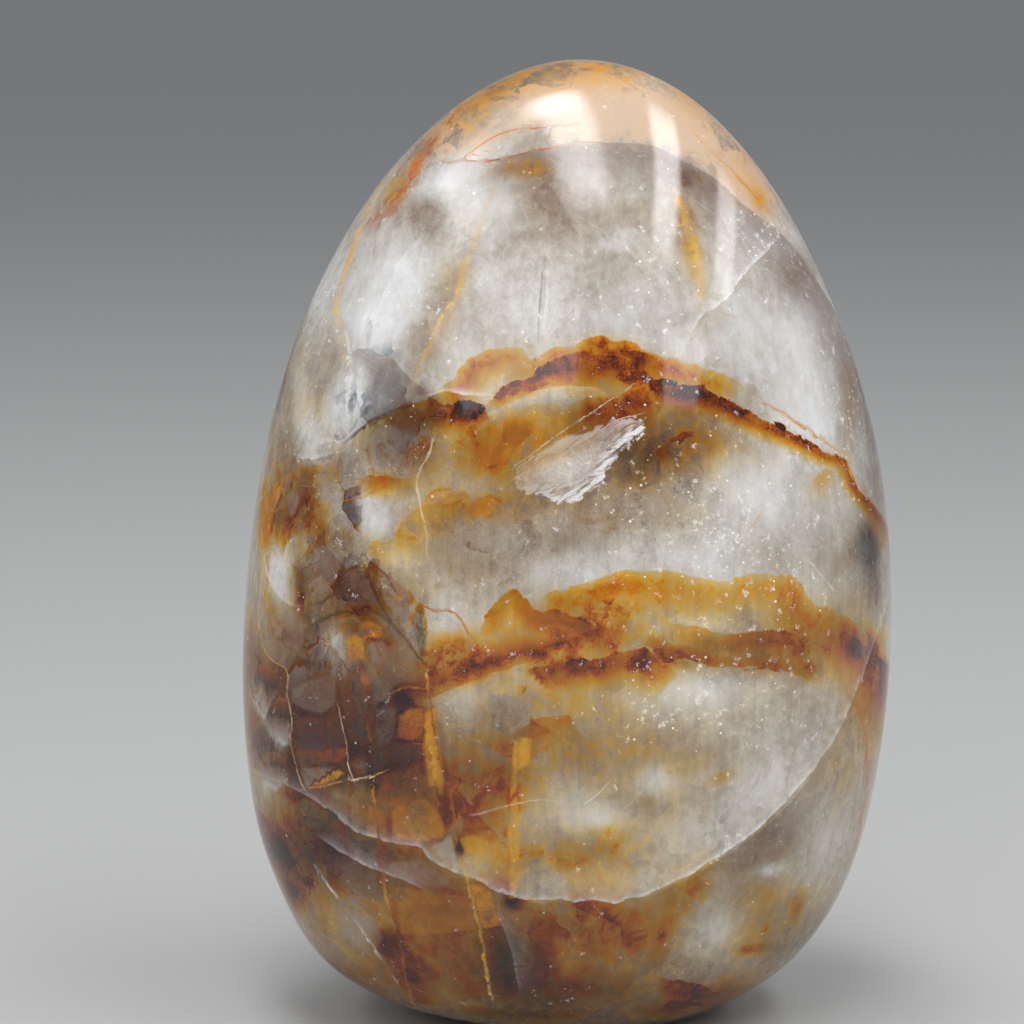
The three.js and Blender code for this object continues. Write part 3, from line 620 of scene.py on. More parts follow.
# Flat panes between breaks: tone at the top, tone at the bottom, strength, and the outline in the
# photograph's pixels. Tone runs from 0, white, through 0.2, grey, 0.4, lilac brown, 0.56, nearly black,
# 0.7, brown, and 0.84, rust, to 1, gold.
panes = [
    (0.24, 0.26, 0.4, [(257, 614), (300, 606), (305, 640), (288, 672), (268, 656)]),
    (0.82, 0.02, 1.1, [(258, 664), (268, 662), (279, 676), (280, 690), (272, 706), (264, 722), (254, 700),
                       (251, 682)]),
    (0.84, 0.06, 1.1, [(268, 704), (278, 696), (288, 698), (292, 716), (290, 745), (282, 748), (272, 734),
                       (265, 723)]),
    (0.66, 0.42, 0.9, [(254, 730), (263, 724), (272, 736), (281, 750), (268, 758), (258, 768), (249, 760),
                       (248, 742)]),
    (0.76, 0.06, 1.1, [(258, 770), (268, 760), (281, 754), (286, 766), (288, 782), (276, 792), (264, 784)]),
    (0.6, 0.44, 0.8, [(301, 664), (308, 652), (320, 640), (327, 652), (330, 668), (312, 676), (302, 674)]),
    (0.16, 0.3, 0.8, [(324, 640), (336, 632), (344, 632), (343, 655), (336, 669), (330, 664)]),
    (0.4, 0.34, 0.6, [(290, 688), (303, 680), (322, 676), (336, 674), (337, 704), (322, 714), (306, 712),
                      (291, 702)]),
    (0.66, 0.6, 0.95, [(293, 716), (306, 715), (322, 716), (342, 710), (346, 742), (330, 746), (296, 744)]),
    (0.78, 0.72, 0.85, [(295, 748), (330, 748), (347, 745), (349, 758), (338, 764), (298, 764)]),
    (0.4, 0.28, 0.8, [(298, 766), (338, 766), (330, 776), (306, 788)]),
    (1.0, 0.94, 0.85, [(308, 788), (316, 778), (336, 768), (347, 772), (336, 781)]),
    (0.68, 0.6, 0.85, [(346, 666), (358, 660), (368, 664), (372, 700), (370, 744), (350, 742), (342, 712)]),
    (0.98, 0.9, 0.85, [(344, 636), (356, 632), (366, 640), (366, 660), (347, 664)]),
    (0.9, 0.86, 0.8, [(358, 622), (372, 620), (384, 628), (380, 640), (362, 638)]),
    (0.28, 0.34, 0.6, [(367, 643), (382, 640), (390, 650), (386, 664), (372, 666)]),
    (0.34, 0.38, 0.35, [(384, 650), (402, 640), (416, 656), (419, 682), (402, 684), (388, 690),
                        (383, 670)]),
    (0.42, 0.46, 0.6, [(370, 672), (382, 668), (396, 692), (388, 704), (374, 702)]),
    (0.48, 0.56, 0.7, [(374, 708), (388, 706), (399, 708), (394, 728), (396, 744), (376, 748)]),
    (0.57, 0.57, 1.0, [(371, 754), (382, 750), (386, 766), (376, 774), (370, 766)]),
    (0.84, 0.8, 0.85, [(396, 736), (398, 716), (408, 708), (424, 707), (424, 736), (410, 741)]),
    (0.62, 0.56, 0.85, [(386, 744), (408, 744), (424, 742), (423, 756), (392, 764)]),
    (0.66, 0.8, 0.6, [(374, 778), (400, 768), (420, 762), (424, 790), (412, 806), (378, 806)]),
    (0.96, 0.92, 0.7, [(424, 712), (436, 706), (440, 740), (446, 786), (428, 788), (424, 750)]),
    (0.8, 0.4, 0.45, [(300, 470), (306, 463), (316, 462), (318, 474), (312, 490), (302, 498), (297, 486)]),
    (0.3, 0.3, 0.7, [(286, 496), (296, 487), (300, 500), (296, 516), (289, 516)]),
    (0.68, 0.76, 0.5, [(311, 503), (316, 510), (306, 530), (296, 540), (285, 540), (294, 522)]),
    (0.28, 0.34, 0.35, [(367, 440), (376, 426), (392, 424), (404, 432), (400, 452), (388, 466),
                        (370, 470)]),
    (0.74, 0.82, 0.45, [(396, 466), (404, 452), (418, 440), (430, 434), (433, 442), (420, 456),
                        (406, 470)]),
    (0.3, 0.28, 0.4, [(345, 476), (358, 472), (370, 476), (374, 486), (362, 496), (346, 498)]),
    (0.84, 0.8, 0.4, [(371, 472), (392, 474), (410, 476), (412, 482), (392, 486), (372, 494), (350, 502),
                      (348, 498), (366, 488)]),
    (0.98, 0.94, 0.22, [(391, 536), (396, 512), (414, 503), (436, 500), (440, 530), (424, 545),
                        (404, 542)]),
    (0.95, 0.86, 0.85, [(262, 546), (262, 510), (270, 492), (284, 482), (280, 500), (272, 520),
                        (268, 552)]),
    (0.4, 0.42, 0.5, [(293, 556), (301, 554), (304, 576), (297, 588)]),
    (0.33, 0.38, 0.8, [(311, 548), (330, 544), (342, 556), (338, 578), (322, 596), (312, 590)]),
    (0.42, 0.46, 0.7, [(346, 570), (364, 566), (372, 584), (382, 606), (360, 606), (330, 606), (338, 586)]),
    (0.74, 0.82, 0.75, [(372, 564), (384, 570), (402, 584), (414, 598), (410, 604), (392, 592)]),
    (0.34, 0.34, 0.5, [(374, 582), (390, 594), (404, 606), (412, 622), (404, 626), (386, 606)]),
    (0.4, 0.44, 0.7, [(246, 700), (248, 650), (252, 620), (258, 640), (262, 660), (250, 690)]),
    (0.42, 0.44, 0.7, [(243, 760), (244, 720), (248, 728), (246, 760), (252, 790)]),
    (1.0, 0.9, 0.3, [(494, 424), (506, 408), (530, 402), (556, 406), (566, 424), (548, 444), (510, 462),
                     (484, 468), (474, 450)]),
    (0.9, 0.84, 0.5, [(366, 800), (386, 810), (389, 846), (376, 842), (366, 836)]),
    (0.9, 0.97, 0.5, [(390, 808), (424, 796), (440, 812), (448, 838), (420, 843), (392, 838)]),
    (0.1, 0.16, 0.5, [(430, 845), (452, 832), (460, 870), (444, 864)]),
    (0.55, 0.55, 0.6, [(384, 848), (400, 848), (398, 858), (386, 860)]),
    (0.34, 0.42, 0.7, [(386, 862), (420, 860), (440, 872), (462, 890), (430, 888), (392, 876)]),
    (0.5, 0.44, 0.6, [(322, 850), (352, 858), (376, 868), (380, 890), (350, 886), (330, 872)]),
    (0.92, 0.96, 0.3, [(392, 884), (430, 892), (470, 896), (478, 930), (430, 935), (400, 935)]),
    (0.94, 0.9, 0.7, [(468, 880), (492, 892), (502, 926), (482, 930), (474, 905)]),
    (0.34, 0.42, 0.6, [(330, 900), (352, 896), (376, 906), (384, 940), (366, 960), (344, 944)]),
    (0.98, 0.96, 0.6, [(458, 838), (476, 834), (490, 842), (486, 856), (464, 852)]),
    (0.94, 0.86, 0.25, [(512, 598), (540, 606), (574, 616), (600, 628), (570, 640), (530, 652), (500, 660),
                        (476, 650), (484, 622)]),
    (0.93, 0.9, 0.3, [(502, 162), (530, 156), (548, 160), (544, 172), (520, 176), (504, 172)]),
    (0.46, 0.44, 0.5, [(680, 172), (694, 166), (704, 188), (700, 206), (688, 196)]),
    (0.98, 0.96, 0.26, [(676, 196), (686, 200), (700, 240), (706, 290), (700, 300), (690, 262),
                        (682, 228)]),
    (0.98, 0.95, 0.95, [(514, 736), (532, 738), (531, 766), (520, 770), (518, 790), (508, 804),
                        (511, 770)]),
    (0.96, 1.0, 0.7, [(509, 804), (518, 790), (520, 812), (521, 828), (507, 830), (511, 816)]),
    (1.0, 0.95, 0.85, [(505, 830), (522, 828), (520, 880), (516, 898), (508, 898), (510, 864)]),
    (0.52, 0.57, 0.95, [(412, 622), (416, 608), (421, 604), (425, 620), (427, 644), (425, 664), (418, 654),
                        (413, 638)]),
    (0.84, 0.88, 0.6, [(458, 512), (470, 502), (492, 496), (502, 504), (490, 516), (466, 518)]),
    (0.98, 0.95, 0.55, [(420, 502), (436, 492), (462, 488), (468, 498), (448, 506)]),
]

# What each kind of cloud adds to the stone: pale is how white or smoky the quartz is, iron how stained it
# is, and the others are colours, bright flaws with painted glints, and clear places of their own.
kinds = {
    "smoke": {"pale": -0.28, "plum": 0.15},
    "taupe": {"pale": -0.08, "iron": 0.16, "plum": 0.46},
    "tan": {"iron": 0.27, "pale": -0.14},
    "peach": {"peach": 1.0},
    "straw": {"iron": 0.26},
    "honey": {"iron": 0.42},
    "orange": {"iron": 0.58},
    "rust": {"iron": 0.74},
    "umber": {"iron": 0.6, "pale": -0.24},
    "bronze": {"iron": 0.34, "pale": 0.06, "peach": -0.5},
    "olive": {"iron": 0.44, "pale": -0.06, "plum": -0.7},
    "plum": {"plum": 1.0},
    "slate": {"slate": 1.0},
    "milk": {"pale": 0.26, "iron": -0.7},
    "ink": {"pale": -1.0},
    "sparkle": {"sparkle": 1.0},
    "clear": {"clear": 1.0},
}

# Soft clouds inside the quartz: x, y in the photograph's pixels, then width and height in mm, strength, and
# the tilt in degrees where there is one.
frontClouds = {
    "bronze": [
        (600, 68, 18, 2.6, 0.9), (500, 86, 9, 3, 0.9, 24), (462, 112, 5, 6, 0.9, 42),
        (690, 102, 10, 2.6, 0.7, -36), (752, 188, 2.4, 6, 0.45, 35), (540, 64, 8, 2.6, 0.8, 10),
    ],
    "olive": [
        (460, 800, 12, 8, 0.9), (500, 770, 9, 6, 0.7), (400, 830, 8, 6, 0.6), (440, 910, 9, 10, 0.7),
        (400, 965, 9, 6, 0.8), (520, 960, 10, 7, 0.9), (600, 930, 12, 7, 0.7), (580, 985, 14, 4, 0.6),
        (560, 860, 6, 5, 0.4), (330, 920, 5, 7, 0.5),
    ],
    "smoke": [
        (440, 118, 5, 4, 0.2, 50), (525, 72, 12, 3, 0.35, 16), (610, 66, 10, 3, 0.2),
        # The smoke cloud at (864, 560) lies over a clear place: painted shade, standing in for the dark seen
        # through the clear quartz.
        (864, 560, 5, 11, 0.6), (540, 560, 10, 5, 0.2), (700, 780, 14, 8, 0.3), (700, 205, 6, 3, 0.4, 30),
        (545, 195, 5, 7, 0.25), (655, 165, 9, 3, 0.2), (800, 275, 4, 3, 0.6, 30), (560, 240, 9, 5, 0.2),
        (432, 215, 4, 4, 0.8), (640, 500, 13, 8, 0.25), (780, 560, 10, 9, 0.3), (720, 470, 10, 6, 0.15, 20),
        (480, 545, 10, 7, 0.35), (560, 560, 9, 4, 0.35), (480, 720, 8, 5, 0.3), (330, 850, 9, 5, 0.5, 30),
        (540, 960, 8, 6, 0.1), (770, 835, 8, 4, 0.4, -40), (600, 1005, 16, 4, 0.5),
        (320, 380, 4, 6, 0.4, 10), (312, 625, 4, 4, 0.7), (400, 660, 5, 5, 0.6), (392, 450, 5, 5, 0.2),
        (500, 940, 3, 8, 0.3), (640, 450, 5, 5, 0.4),
    ],
    "taupe": [
        (330, 470, 5, 8, 0.6), (350, 430, 5, 6, 0.4), (520, 518, 6, 4, 0.4), (740, 430, 7, 3, 0.5, 20),
        (560, 540, 8, 3, 0.7), (640, 510, 9, 4, 0.6), (540, 300, 10, 10, 0.25), (400, 450, 12, 8, 0.3),
        (600, 520, 15, 7, 0.8), (470, 560, 11, 7, 0.7), (700, 540, 10, 6, 0.5), (720, 640, 13, 4, 0.9),
        (450, 720, 10, 6, 0.6), (400, 880, 10, 7, 0.5), (560, 860, 8, 5, 0.6), (520, 740, 9, 6, 0.5),
        (320, 560, 8, 12, 0.6), (680, 440, 9, 5, 0.5, 20), (660, 960, 12, 5, 0.4), (840, 760, 5, 9, 0.5),
        (280, 600, 4, 14, 0.6), (300, 520, 6, 8, 0.4), (360, 590, 5, 4, 0.9), (760, 660, 9, 4, 0.6),
    ],
    "tan": [
        (290, 400, 3, 8, 0.7), (300, 450, 3, 5, 0.7), (262, 430, 2, 9, 0.8, 6), (462, 104, 6, 4, 0.5, 42),
        (690, 425, 8, 4, 0.8, 10), (466, 225, 3, 5, 0.5, -20), (448, 280, 3.6, 6, 0.7, -20),
        (432, 330, 4, 6, 0.7, -20), (470, 450, 9, 5, 0.8), (540, 500, 10, 4, 0.6), (620, 460, 8, 5, 0.7),
        (500, 92, 7, 3.4, 0.5, 25), (560, 76, 20, 3.4, 0.8), (470, 118, 7, 4, 0.6, 40),
        (695, 108, 8, 4, 0.6, -40), (745, 172, 4, 8, 0.5, 35), (430, 140, 3, 6, 0.8, -30),
        (540, 175, 4, 8, 0.5), (640, 240, 8, 5, 0.3), (590, 405, 9, 3, 0.3, 10), (740, 660, 11, 3, 0.7),
        (600, 760, 14, 8, 0.6), (330, 350, 3, 8, 0.4, 5), (600, 440, 10, 6, 0.8),
    ],
    "peach": [
        (660, 116, 9, 5, 1.1, -20), (560, 110, 9, 4, 0.9), (560, 72, 22, 5, 1.2), (458, 120, 7, 6, 1.0, 40),
        (690, 112, 8, 5, 1.2, -40), (748, 176, 4, 8, 1.0, 35), (600, 118, 12, 4, 0.9),
        (480, 138, 6, 3.4, 0.7, 20), (520, 120, 6, 3, 0.6), (700, 140, 6, 4, 0.75, -35),
        (735, 180, 4, 6, 0.7, 35), (822, 490, 3, 5, 0.5), (500, 215, 3, 8, 0.35, -15),
    ],
    "honey": [
        (690, 446, 7, 4, 0.9, -10), (640, 468, 9, 4, 0.7), (470, 460, 9, 4, 0.7),
        (690, 905, 2.4, 8, 0.9, -14), (580, 925, 3, 8, 0.8), (388, 880, 5, 6, 0.6),
        (680, 430, 7, 4, 0.8, -20), (345, 610, 4, 2, 0.8), (300, 800, 5, 2, 0.6, -20),
        (496, 432, 7, 3, 1.0, -10), (640, 420, 6, 4, 0.6), (604, 614, 8, 2, 1.1, 8),
        (600, 608, 7, 3, 1.0, 8), (640, 598, 9, 3, 1.2, 4), (560, 758, 6, 4, 0.7), (500, 780, 5, 6, 0.6),
        (470, 820, 9, 8, 0.2), (500, 860, 7, 5, 0.6), (400, 830, 6, 5, 0.5), (520, 168, 6, 1.8, 0.9, 6),
        (688, 232, 2, 8, 0.7, 8), (530, 440, 11, 6, 0.9, 10), (500, 455, 9, 6, 0.7),
        (445, 505, 6, 3.4, 0.7), (700, 610, 12, 4, 0.6), (800, 625, 9, 4, 0.7, -25), (570, 700, 10, 6, 0.5),
        (530, 800, 8, 12, 0.3), (430, 810, 8, 6, 0.5), (620, 935, 11, 6, 0.5), (600, 840, 9, 6, 0.5),
        (660, 780, 7, 8, 0.35), (455, 290, 2.4, 6, 0.6, -20), (445, 945, 9, 9, 0.3, 10),
        (722, 778, 2.4, 1.2, 0.5, 20), (704, 808, 1.2, 3, 0.5, 10), (652, 802, 1.6, 2, 0.6),
        (600, 830, 3, 0.9, 0.9), (797, 905, 1.4, 4, 0.8, -10), (755, 948, 4, 1.2, 0.8, -8),
        (311, 410, 3, 4, 0.9), (850, 650, 5, 7, 0.6), (480, 890, 6, 8, 0.5), (640, 225, 6, 8, 0.2),
        (285, 480, 3, 8, 0.5), (355, 650, 3, 4, 0.9), (320, 749, 6, 1.6, 0.8), (395, 545, 6, 3, 0.7),
    ],
    "straw": [
        (620, 500, 18, 7, 0.8), (540, 500, 12, 6, 0.8), (700, 510, 10, 6, 0.5), (560, 230, 10, 8, 0.3),
        (700, 300, 5, 8, 0.5), (300, 350, 3, 10, 0.6, 5), (590, 930, 7, 8, 0.8), (500, 830, 6, 10, 0.7),
        (760, 900, 9, 6, 0.5), (660, 800, 5, 8, 0.5, 20), (690, 250, 4, 9, 0.6, 4), (640, 262, 5, 7, 0.4),
        (600, 225, 6, 4, 0.3), (480, 690, 9, 4, 0.7), (540, 700, 9, 4, 0.6), (720, 440, 14, 6, 0.6, -10),
        (700, 690, 14, 5, 0.4), (620, 540, 16, 5, 0.3), (620, 588, 8, 3, 0.8, 6), (560, 590, 4, 2, 0.4),
        (785, 900, 5, 4, 0.8), (610, 90, 8, 1.6, 0.2), (545, 830, 5, 8, 0.6), (465, 505, 4, 2, 0.6, 10),
        (690, 245, 2, 7, 0.6), (575, 910, 2.4, 6, 0.8), (590, 740, 10, 10, 0.5), (620, 860, 12, 6, 0.7),
        (760, 930, 8, 5, 0.6), (300, 560, 5, 8, 0.5),
    ],
    "orange": [
        (690, 452, 6, 3, 0.6, 10), (550, 430, 5, 3, 0.5, -20), (600, 630, 11, 4, 0.7, 8),
        (545, 638, 8, 4, 0.75, 8), (800, 650, 8, 3, 0.6), (500, 365, 7, 3, 0.4, 20),
        (690, 372, 6, 1.6, 0.4, -15), (480, 508, 5, 2.4, 0.5, 10), (455, 655, 5, 4, 0.9),
        (400, 700, 6, 2.4, 0.5, 10), (507, 895, 3, 3.4, 0.8), (522, 744, 3, 3, 0.3),
        (455, 950, 6, 9, 0.4, 8), (388, 942, 2.4, 3, 0.9), (305, 880, 2, 7, 0.8, -20),
        (678, 925, 2.4, 6, 0.4, -10), (265, 520, 1.6, 10, 0.7), (285, 640, 2, 6, 0.5, 10),
        (440, 770, 3, 6, 0.2), (355, 630, 4, 2, 0.8), (620, 665, 9, 2.4, 0.6, 5),
        (820, 645, 6, 3, 0.6, -20), (568, 76, 2.4, 1.6, 0.3), (430, 405, 4, 2, 0.3, 20),
        (812, 486, 2, 3, 0.3), (425, 735, 2, 6, 0.4), (515, 898, 2, 2, 0.7),
    ],
    "rust": [
        (700, 470, 3, 2, 0.6, -20), (662, 452, 3, 1.6, 0.5, 20), (640, 430, 3, 2, 0.5, -40),
        (560, 372, 4, 1.2, 0.5, 8), (276, 470, 2, 5, 0.5, 10), (318, 506, 3, 2, 0.5, -30),
        (292, 560, 2, 6, 0.5, 10), (336, 470, 2, 4, 0.4), (300, 600, 2, 5, 0.5, 20),
        (272, 620, 1.4, 6, 0.5, 10), (330, 690, 2.4, 1.4, 0.5), (620, 374, 7, 2.2, 1.0, -4),
        (525, 391, 5, 1.4, 0.6, 10), (560, 384, 5, 1.2, 0.5, 4), (520, 389, 4, 1.0, 0.8, 14),
        (612, 402, 4, 1.8, 0.8, 8), (622, 377, 3, 1.4, 0.8), (650, 462, 3, 1.6, 0.3),
        (290, 470, 3, 2, 0.5, 30), (330, 540, 5, 3, 0.5, -30), (400, 478, 5, 2, 0.4),
        (300, 535, 4, 3, 0.6, 40), (264, 690, 2, 2, 0.6), (605, 356, 6, 3, 0.6), (400, 185, 2, 5, 0.5, -30),
        (308, 478, 2.6, 3, 0.5, -10), (300, 515, 3, 5, 0.5, -20), (455, 672, 6, 3, 0.7, 10),
        (485, 660, 7, 3, 0.6, 10), (610, 642, 7, 2, 0.5, 8), (270, 850, 3, 7, 0.9, -20),
        (290, 890, 3, 4, 0.8, -20), (380, 650, 4, 3, 0.4), (870, 655, 2.6, 4, 0.8),
        (700, 1000, 8, 3, 0.8, 10), (640, 665, 6, 2.4, 0.6), (415, 722, 4, 3, 0.4),
        (758, 200, 2.0, 3, 0.5, 30), (440, 424, 5, 2, 0.3, 16), (800, 640, 3, 3, 0.6),
        (810, 668, 2.6, 2, 0.7), (560, 665, 5, 2, 0.7, 5), (460, 510, 4, 1.6, 0.4, 5),
        (420, 400, 3, 2, 0.2),
    ],
    "umber": [
        (600, 430, 6, 3, 0.4, -30), (640, 478, 6, 3, 0.6), (520, 960, 6, 5, 0.2), (400, 960, 8, 6, 0.2),
        (660, 452, 5, 2.4, 0.5), (286, 450, 2, 8, 0.3), (320, 520, 7, 4, 0.2), (262, 690, 4, 10, 0.4),
        (310, 735, 11, 12, 0.7), (400, 730, 7, 12, 0.6), (300, 500, 7, 9, 0.3), (360, 600, 10, 6, 0.5),
        (400, 450, 8, 5, 0.3), (320, 840, 10, 7, 0.5), (345, 850, 8, 9, 0.5, 30), (410, 770, 6, 6, 0.3),
        (520, 985, 14, 5, 0.3), (250, 700, 3, 16, 0.5), (350, 980, 8, 6, 0.5), (400, 770, 5, 6, 0.3),
        (388, 730, 3, 9, 0.8), (350, 735, 4, 8, 0.5), (350, 625, 5, 3, 0.4), (320, 735, 5, 6, 0.4),
        (510, 985, 5, 4, 0.6), (388, 944, 2, 2.4, 0.9), (850, 400, 1.6, 12, 0.3, -8),
        (520, 1015, 12, 2, 0.4), (330, 760, 6, 3, 0.4), (496, 930, 2, 9, 0.4, 12),
    ],
    "plum": [
        (418, 418, 7, 3, 0.8, 14), (700, 96, 10, 2.4, 0.2, -36), (440, 130, 6, 2.0, 0.3, 50),
        (315, 725, 14, 13, 0.95), (400, 750, 8, 12, 0.5), (330, 570, 9, 8, 0.6), (320, 490, 9, 8, 0.4),
        (400, 455, 7, 4, 0.6), (390, 620, 8, 5, 0.5), (302, 715, 11, 13, 0.72), (362, 590, 6, 4.4, 0.66),
        (350, 515, 2.4, 10, 0.6), (300, 508, 3, 7, 0.56, -20), (330, 650, 8, 5, 0.6),
        (392, 735, 4, 9, 0.74), (300, 860, 6, 10, 0.56, -20), (398, 690, 6, 4, 0.56), (412, 440, 5, 3, 0.5),
        (615, 366, 5, 1.6, 0.4), (478, 412, 3, 1.2, 0.4, 20), (322, 700, 4, 4, 0.5), (316, 740, 5, 3, 0.4),
        (430, 418, 6, 2.4, 0.6, 15), (385, 425, 6, 3, 0.4, 20), (508, 665, 4, 1.6, 0.3, 12),
        (548, 672, 3, 1.6, 0.3), (360, 590, 3, 3, 0.5), (686, 176, 2.4, 3, 0.7), (805, 450, 3, 2, 0.5, -30),
        (386, 745, 2.4, 6, 0.9), (428, 395, 4, 2, 0.6, -30), (275, 500, 1.6, 3, 0.8), (535, 915, 4, 4, 0.2),
    ],
    "slate": [
        (398, 428, 6, 4, 0.8), (348, 480, 1.6, 7, 0.6), (392, 412, 6, 1.4, 0.7, 25),
        (352, 564, 2, 1.6, 0.8), (395, 357, 3, 1.6, 0.6), (410, 366, 2, 1.2, 0.6, -20),
        (376, 440, 4, 3, 0.66, 20), (360, 410, 4, 6, 0.4), (352, 513, 1.4, 1.8, 0.8), (385, 400, 5, 5, 0.5),
        (685, 390, 4, 1.6, 0.7, -10), (862, 540, 2.4, 7, 0.3), (380, 522, 2.6, 4, 0.5),
    ],
    "milk": [
        (650, 500, 9, 4, 0.2), (600, 545, 14, 3, 0.3), (560, 520, 6, 3, 0.3), (500, 545, 5, 3, 0.3),
        (590, 880, 12, 2.4, 0.5), (480, 860, 5, 2.4, 0.4, 20), (560, 820, 8, 4, 0.4),
        (345, 432, 5, 4, 0.35), (330, 404, 5, 5, 0.1), (352, 500, 5, 3, 0.5, 20), (262, 450, 3, 6, 0.5, 10),
        (290, 548, 3, 5, 0.4), (272, 740, 1.2, 2.6, 0.8, 20), (330, 790, 3, 0.9, 0.7, -20),
        (436, 182, 4, 3, 0.8, 30), (500, 205, 3, 5, 0.4), (735, 215, 4, 4, 0.4, 30), (562, 574, 6, 2, 0.5),
        (350, 395, 3, 4, 0.5), (378, 524, 2.4, 2.4, 0.8), (279, 576, 2.4, 4, 1.0), (396, 557, 2.6, 2, 1.0),
        (332, 655, 1.4, 3, 0.9), (262, 700, 1.4, 2.8, 1.0, 20), (278, 738, 1.4, 2.0, 0.9, 30),
        (700, 628, 6, 2, 0.7), (460, 700, 6, 4, 0.5), (350, 400, 4, 5, 0.5), (300, 395, 2, 6, 0.5),
        (620, 560, 14, 4, 0.5), (660, 480, 14, 7, 0.5), (398, 290, 6, 6, 0.8), (367, 326, 4, 4, 0.9),
        (500, 280, 6, 9, 0.3), (570, 300, 7, 8, 0.1), (655, 300, 6, 7, 0.3, 10),
        (625, 241, 5, 1.6, 0.6, 10), (805, 400, 6, 10, 0.8, 20), (770, 320, 9, 7, 0.4),
        (320, 300, 3, 7, 0.5, 5), (545, 393, 6, 1.6, 0.2, 8), (450, 420, 1.6, 3, 0.3),
        (700, 690, 8, 3, 0.7), (560, 780, 6, 6, 0.3), (740, 760, 10, 5, 0.2, 30),
        (680, 830, 10, 5, 0.5, 20), (760, 790, 6, 3, 0.6, 40), (600, 818, 3.6, 2.6, 0.7),
        (820, 850, 6, 9, 0.6, -20), (352, 925, 4, 5, 0.45), (760, 500, 6, 6, 0.6), (720, 560, 4, 6, 0.5),
        (460, 200, 4, 9, 0.6, -10), (310, 435, 3, 4, 0.9), (656, 781, 4, 3, 0.8), (771, 869, 2.4, 1.2, 1.0),
        (260, 703, 1.8, 2.4, 0.9), (280, 736, 1.4, 2, 0.6), (265, 785, 1.6, 2, 0.6), (700, 930, 6, 8, 0.5),
        (440, 620, 3, 3, 0.5), (335, 645, 2, 3, 0.8), (316, 770, 2, 1.6, 0.7), (361, 765, 2, 0.9, 1.0),
        (567, 960, 2, 4, 0.4), (715, 930, 5, 5, 0.4), (640, 595, 8, 2.4, 0.3), (770, 590, 5, 2.4, 0.3, -10),
    ],
    # The spots at (866, 534), (872, 552), (875, 590) and (299, 580) lie by clear places: painted shade,
    # standing in for the dark seen through the clear quartz.
    "ink": [
        (376, 766, 1.4, 3, 0.7), (866, 534, 1.6, 2.6, 0.3), (872, 552, 1.6, 2.6, 0.3),
        (875, 590, 1.4, 4, 0.2), (299, 580, 1.2, 2.6, 0.3), (460, 848, 0.7, 1.0, 0.6),
        (511, 902, 0.8, 0.9, 0.7),
    ],
    "sparkle": [
        (720, 540, 16, 14, 0.9), (700, 700, 16, 7, 1.0), (600, 500, 10, 8, 0.5), (760, 245, 7, 5, 0.9),
        (650, 290, 8, 10, 0.5), (780, 600, 9, 7, 0.9), (620, 410, 12, 5, 0.35), (330, 480, 7, 12, 0.25),
        (850, 420, 5, 16, 0.7), (320, 320, 5, 10, 0.7), (400, 300, 8, 8, 0.4), (740, 780, 10, 8, 0.4),
    ],
    "clear": [
        (870, 560, 3.4, 9, 0.5), (845, 610, 5, 6, 0.3), (395, 370, 6, 5, 0.35), (300, 578, 3, 4, 0.4),
        (860, 480, 5, 8, 0.3), (790, 835, 8, 5, 0.3),
    ],
}

# The same for the sides, the back and the top: azimuth in degrees, 90 is the right side, and share of the
# height.
farClouds = {
    "smoke": [
        (120, 0.55, 14, 8, 0.5, 10), (200, 0.35, 16, 9, 0.5, -10), (260, 0.7, 10, 8, 0.4),
        (160, 0.8, 12, 6, 0.4),
    ],
    "taupe": [
        (180, 0.5, 18, 10, 0.7, 10), (100, 0.3, 12, 10, 0.7), (240, 0.45, 14, 9, 0.7),
        (140, 0.15, 14, 6, 0.7),
    ],
    "tan": [
        (170, 0.2, 20, 9, 0.8), (230, 0.5, 12, 8, 0.7), (180, 0.94, 18, 7, 0.8), (90, 0.9, 12, 6, 0.7),
        (270, 0.88, 10, 7, 0.7), (200, 0.7, 10, 5, 0.5, 20),
    ],
    "peach": [
        (150, 0.88, 9, 5, 0.6), (230, 0.84, 9, 5, 0.5),
    ],
    "honey": [
        (170, 0.3, 18, 9, 0.9, -8), (220, 0.24, 15, 9, 0.9, 10), (110, 0.42, 9, 6, 0.5),
        (250, 0.6, 8, 9, 0.4), (190, 0.62, 12, 4, 0.6, 12), (130, 0.1, 12, 5, 0.6),
    ],
    "straw": [
        (160, 0.56, 12, 5, 0.7, 10), (210, 0.4, 14, 8, 0.7), (185, 0.5, 24, 9, 0.6, 4),
        (250, 0.38, 12, 14, 0.7),
    ],
    "orange": [
        (190, 0.42, 24, 4.0, 0.9, 8), (120, 0.36, 8, 3, 0.6, -10), (235, 0.33, 10, 5, 0.8),
        (100, 0.6, 2, 10, 0.4),
    ],
    "rust": [
        (200, 0.2, 18, 3.4, 0.9, 5), (250, 0.3, 7, 9, 0.7), (170, 0.44, 20, 2.6, 0.8, 8),
        (95, 0.2, 4, 7, 0.5), (265, 0.52, 4, 8, 0.4),
    ],
    "umber": [
        (245, 0.2, 9, 8, 0.7), (215, 0.12, 9, 5, 0.6), (170, 0.2, 8, 4, 0.5),
    ],
    "plum": [
        (180, 0.45, 9, 2, 0.6, 8), (240, 0.4, 6, 3, 0.6, 20), (110, 0.47, 5, 2, 0.5),
    ],
    "slate": [
        (260, 0.62, 6, 7, 0.4), (150, 0.62, 8, 6, 0.4),
    ],
    "milk": [
        (180, 0.74, 15, 9, 0.6), (140, 0.3, 8, 7, 0.5), (225, 0.6, 9, 8, 0.5), (100, 0.75, 8, 10, 0.5),
        (195, 0.08, 12, 4, 0.5), (120, 0.2, 7, 7, 0.5),
    ],
    "sparkle": [
        (180, 0.6, 20, 20, 0.6), (120, 0.4, 12, 16, 0.6), (250, 0.5, 10, 20, 0.5),
    ],
}

